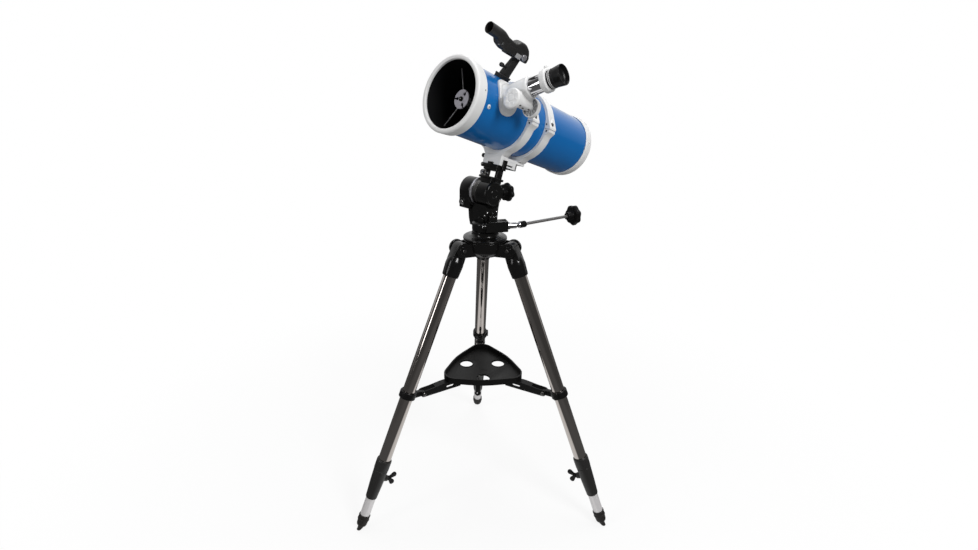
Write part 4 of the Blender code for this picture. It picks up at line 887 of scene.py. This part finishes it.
knots = np.array([(-0.012, 0.1513, 0.1291, 0.0111, 2), (-0.036, 0.1508, 0.1288, 0.0111, 2),
                  (-0.04, 0.1506, 0.1255, 0.0112, 2.4), (-0.044, 0.1503, 0.1216, 0.0114, 3),
                  (-0.05, 0.1494, 0.1198, 0.0116, 3.5), (-0.056, 0.147, 0.1182, 0.0118, 4),
                  (-0.062, 0.1443, 0.117, 0.012, 5), (-0.076, 0.1425, 0.1168, 0.012, 6),
                  (-0.088, 0.1414, 0.1168, 0.012, 6), (-0.0915, 0.1433, 0.1168, 0.012, 6),
                  (-0.0985, 0.1488, 0.1168, 0.012, 5), (-0.108, 0.1498, 0.1168, 0.012, 5),
                  (-0.115, 0.149, 0.1168, 0.012, 5), (-0.1264, 0.1432, 0.1168, 0.0119, 5),
                  (-0.133, 0.1338, 0.1169, 0.0117, 5), (-0.1345, 0.129, 0.1172, 0.0114, 5)])
hull_x = np.linspace(knots[0, 0], knots[-1, 0], 123)
sections = np.stack([np.interp(-hull_x, -knots[:, 0], column) for column in knots.T[1:]])
padded = np.pad(sections, ((0, 0), (2, 2)), mode="edge")
top, bottom, half_width, power = (np.convolve(row, np.ones(5) / 5, "valid")[:, None] for row in padded)
hull_turn = np.linspace(0, tau, 72, endpoint=False)
hull_y = half_width * np.abs(np.cos(hull_turn)) ** (2 / power) * np.sign(np.cos(hull_turn))
rise = np.abs(np.sin(hull_turn)) ** (2 / power) * np.sign(np.sin(hull_turn))
hull_z = (top + bottom) / 2 + (top - bottom) / 2 * rise
hull = np.stack([np.broadcast_to(hull_x[:, None], hull_y.shape), hull_y, hull_z], -1)
sight_height, sight_radius = 0.1402, 0.0098
sight_y = sight_radius * np.cos(hull_turn)
sight_z = sight_height + sight_radius * np.sin(hull_turn)
sight = [np.stack([np.full_like(hull_turn, x), sight_y, sight_z], -1) for x in (-0.03, -0.013, -0.0118)]
skin("finder_hull", [
    (np.concatenate([sight, hull]) @ finder[1] + finder[0], False, True),
    block((-0.1, -0.0105, 0.115), (-0.077, 0.0105, 0.1174), finder, 0.0006, 0.002),
    block((-0.0905, -0.0124, 0.118), (-0.06, 0.0124, 0.133), finder, 0.001, 0.003),
], grained_black, "ota", ["finder_body"], sharp=30)
glass = coat("tinted_window", (0.012, 0.003, 0.003), (0.02, 0.005, 0.005), (0.02, 0.05), 200, 1e-7,
             {"Coat Weight": 1.0})
window = [(0, -0.001), (0.0097, -0.001), (0.0097, 0.0008), (0, 0.0014)]
skin("finder_window", [turned(window, facing(shift(finder, -0.0265, 0, sight_height), 1, 2))], glass,
     "ota")
side_line = facing(shift(finder, 0, 0.0118, 0), 2, 0)
adjuster = [(0, 0), (0.0024, 0), (0.0024, 0.001), (0.0015, 0.0014), (0, 0.0014)]
skin("finder_adjusters", [
    turned(adjuster, shift(side_line, 0.1289, -0.05), sides=32, ease=0.0003),
    turned(bar(0.0018, -0.0022, 0.0006), shift(side_line, 0.1235, -0.044), sides=32),
], nickel, "ota")
pale_plate = coat("pale_plate", (0.3, 0.3, 0.305), (0.38, 0.38, 0.385), (0.35, 0.5), 900, 1e-5, {})
skin("finder_plate",
     [block((0.1182, -0.112, -0.0002), (0.1272, -0.096, 0.0008), side_line, 0.0003, 0.001)],
     pale_plate, "ota")
dial_line = facing(shift(finder, -0.118, 0.0123, 0.1255), 2, 0)
dial = [(0, 0.0), (0.006, 0.0), (0.0062, 0.0004), (0.0062, 0.0036), (0.0054, 0.0042), (0, 0.0042)]
skin("finder_dial_shape",
     [turned(dial, dial_line, sides=120, flutes=30, depth=[0, 0, 0.00015, 0.00015, 0, 0])],
     alloy, "finder_dial", ["finder_dial"])


# Studio: a pale floor that reads white to the camera but keeps a faint shadow, a surround whose
# reflection is white behind the object and dim in front of it, and three broad soft lights.
def floor_white():
    """Matt pale grey. The camera sees white with a faint shadow; metal sees white near the stand only."""
    made, sockets, place = begin("floor_white", {"Roughness": 0.9, "Specular IOR Level": 0.1})
    tree = made.node_tree
    seen = place.node("ShaderNodeLightPath", {}, {}, out="Is Camera Ray")
    mirrored = place.node("ShaderNodeLightPath", {}, {}, out="Is Glossy Ray")
    pale = place.noise(3.0) * 0.03 + seen * 0.5 + 0.4
    plug(sockets, Base_Color=pale.blend((0, 0, 0), (1, 1, 1)))
    away = place.node("ShaderNodeVectorMath", {"operation": "DISTANCE"}, {0: place, 1: stand[0]},
                      out="Value")
    shown = seen + mirrored * away.eased_between(0.3, 0.44, 0.85, 0.06)
    glow = place.node("ShaderNodeEmission", {}, {"Color": shown.blend((0, 0, 0), (1, 1, 1))})
    cleared = seen * away.eased_between(0.35, 1.3, 0.86, 1.0) + mirrored * 0.9
    mixed = place.node("ShaderNodeMixShader", {}, {0: cleared, 2: glow})
    tree.links.new(tree.nodes["Principled BSDF"].outputs[0], mixed.socket.node.inputs[1])
    tree.links.new(mixed.socket, tree.nodes["Material Output"].inputs["Surface"])
    return made


floor_mesh = bpy.data.meshes.new("floor")
half_floor, floor_height = 9, -0.0005
floor_corners = [(half_floor * x, half_floor * y, floor_height)
                 for x, y in ((-1, -1), (1, -1), (1, 1), (-1, 1))]
floor_mesh.from_pydata(floor_corners, [], [(0, 1, 2, 3)])
floor_mesh.materials.append(floor_white())
floor = bpy.data.objects.new("floor", floor_mesh)
bpy.context.scene.collection.objects.link(floor)

world = bpy.data.worlds.new("studio")
bpy.context.scene.world = world
world.use_nodes = True
tree = world.node_tree
paths = tree.nodes.new("ShaderNodeLightPath")
seen = Wire(tree, paths.outputs["Is Camera Ray"])
seen = seen.math("MAXIMUM", seen, Wire(tree, paths.outputs["Is Transmission Ray"]))
mirrored = Wire(tree, paths.outputs["Is Glossy Ray"])
way = Wire(tree, tree.nodes.new("ShaderNodeTexCoord").outputs["Generated"])
behind = way.node("ShaderNodeSeparateXYZ", {}, {"Vector": way}, out="Y")
ambient = 0.34
level = seen * (1 - ambient) + mirrored * (behind.eased_between(-0.1, 0.75, 0.06, 0.85) - ambient) + ambient
backdrop = tree.nodes["Background"]
backdrop.inputs["Color"].default_value = (1, 1, 1, 1)
plug(backdrop.inputs, Strength=level)


def posed(x, y, z, at):
    """The placing matrix of three directions and a point."""
    return Matrix([*map(tuple, np.column_stack([x, y, z, at])), (0, 0, 0, 1)])


def lamp(name, at, towards, size, power):
    """A soft rectangular light that faces a point."""
    data = bpy.data.lights.new(name, "AREA")
    data.shape = "RECTANGLE"
    data.size, data.size_y = size
    data.energy = power
    item = bpy.data.objects.new(name, data)
    bpy.context.scene.collection.objects.link(item)
    z = np.array(at, float) - towards
    z /= np.linalg.norm(z)
    x = np.cross((0, 0, 1), z)
    x /= np.linalg.norm(x)
    item.matrix_world = posed(x, np.cross(z, x), z, at)


lamp("key", (1.5, -2.2, 2.6), (0, -0.1, 0.7), (1.0, 1.0), 60)
lamp("fill", (-2.2, -1.4, 1.6), (0, -0.1, 0.6), (0.5, 1.8), 14)
lamp("top", (0.2, 0.5, 3.0), (0, -0.1, 0.6), (1.6, 1.0), 26)

camera = bpy.data.objects.new("camera", bpy.data.cameras.new("camera"))
bpy.context.scene.collection.objects.link(camera)
camera.data.lens = 20.525
camera.data.sensor_width = 36
camera.data.clip_start = 0.02
pan, dip, roll = radians(3.03), radians(21.5), radians(1.31)
ahead = np.array([sin(pan) * cos(dip), cos(pan) * cos(dip), -sin(dip)])
level_right = np.array([cos(pan), -sin(pan), 0])
level_up = np.cross(level_right, ahead)
right = cos(roll) * level_right + sin(roll) * level_up
up = cos(roll) * level_up - sin(roll) * level_right
eye = (-0.0531, -1.2935, 1.0665)
camera.matrix_world = posed(right, up, -ahead, eye)
bpy.context.scene.camera = camera
bpy.context.scene.view_settings.view_transform = "Standard"
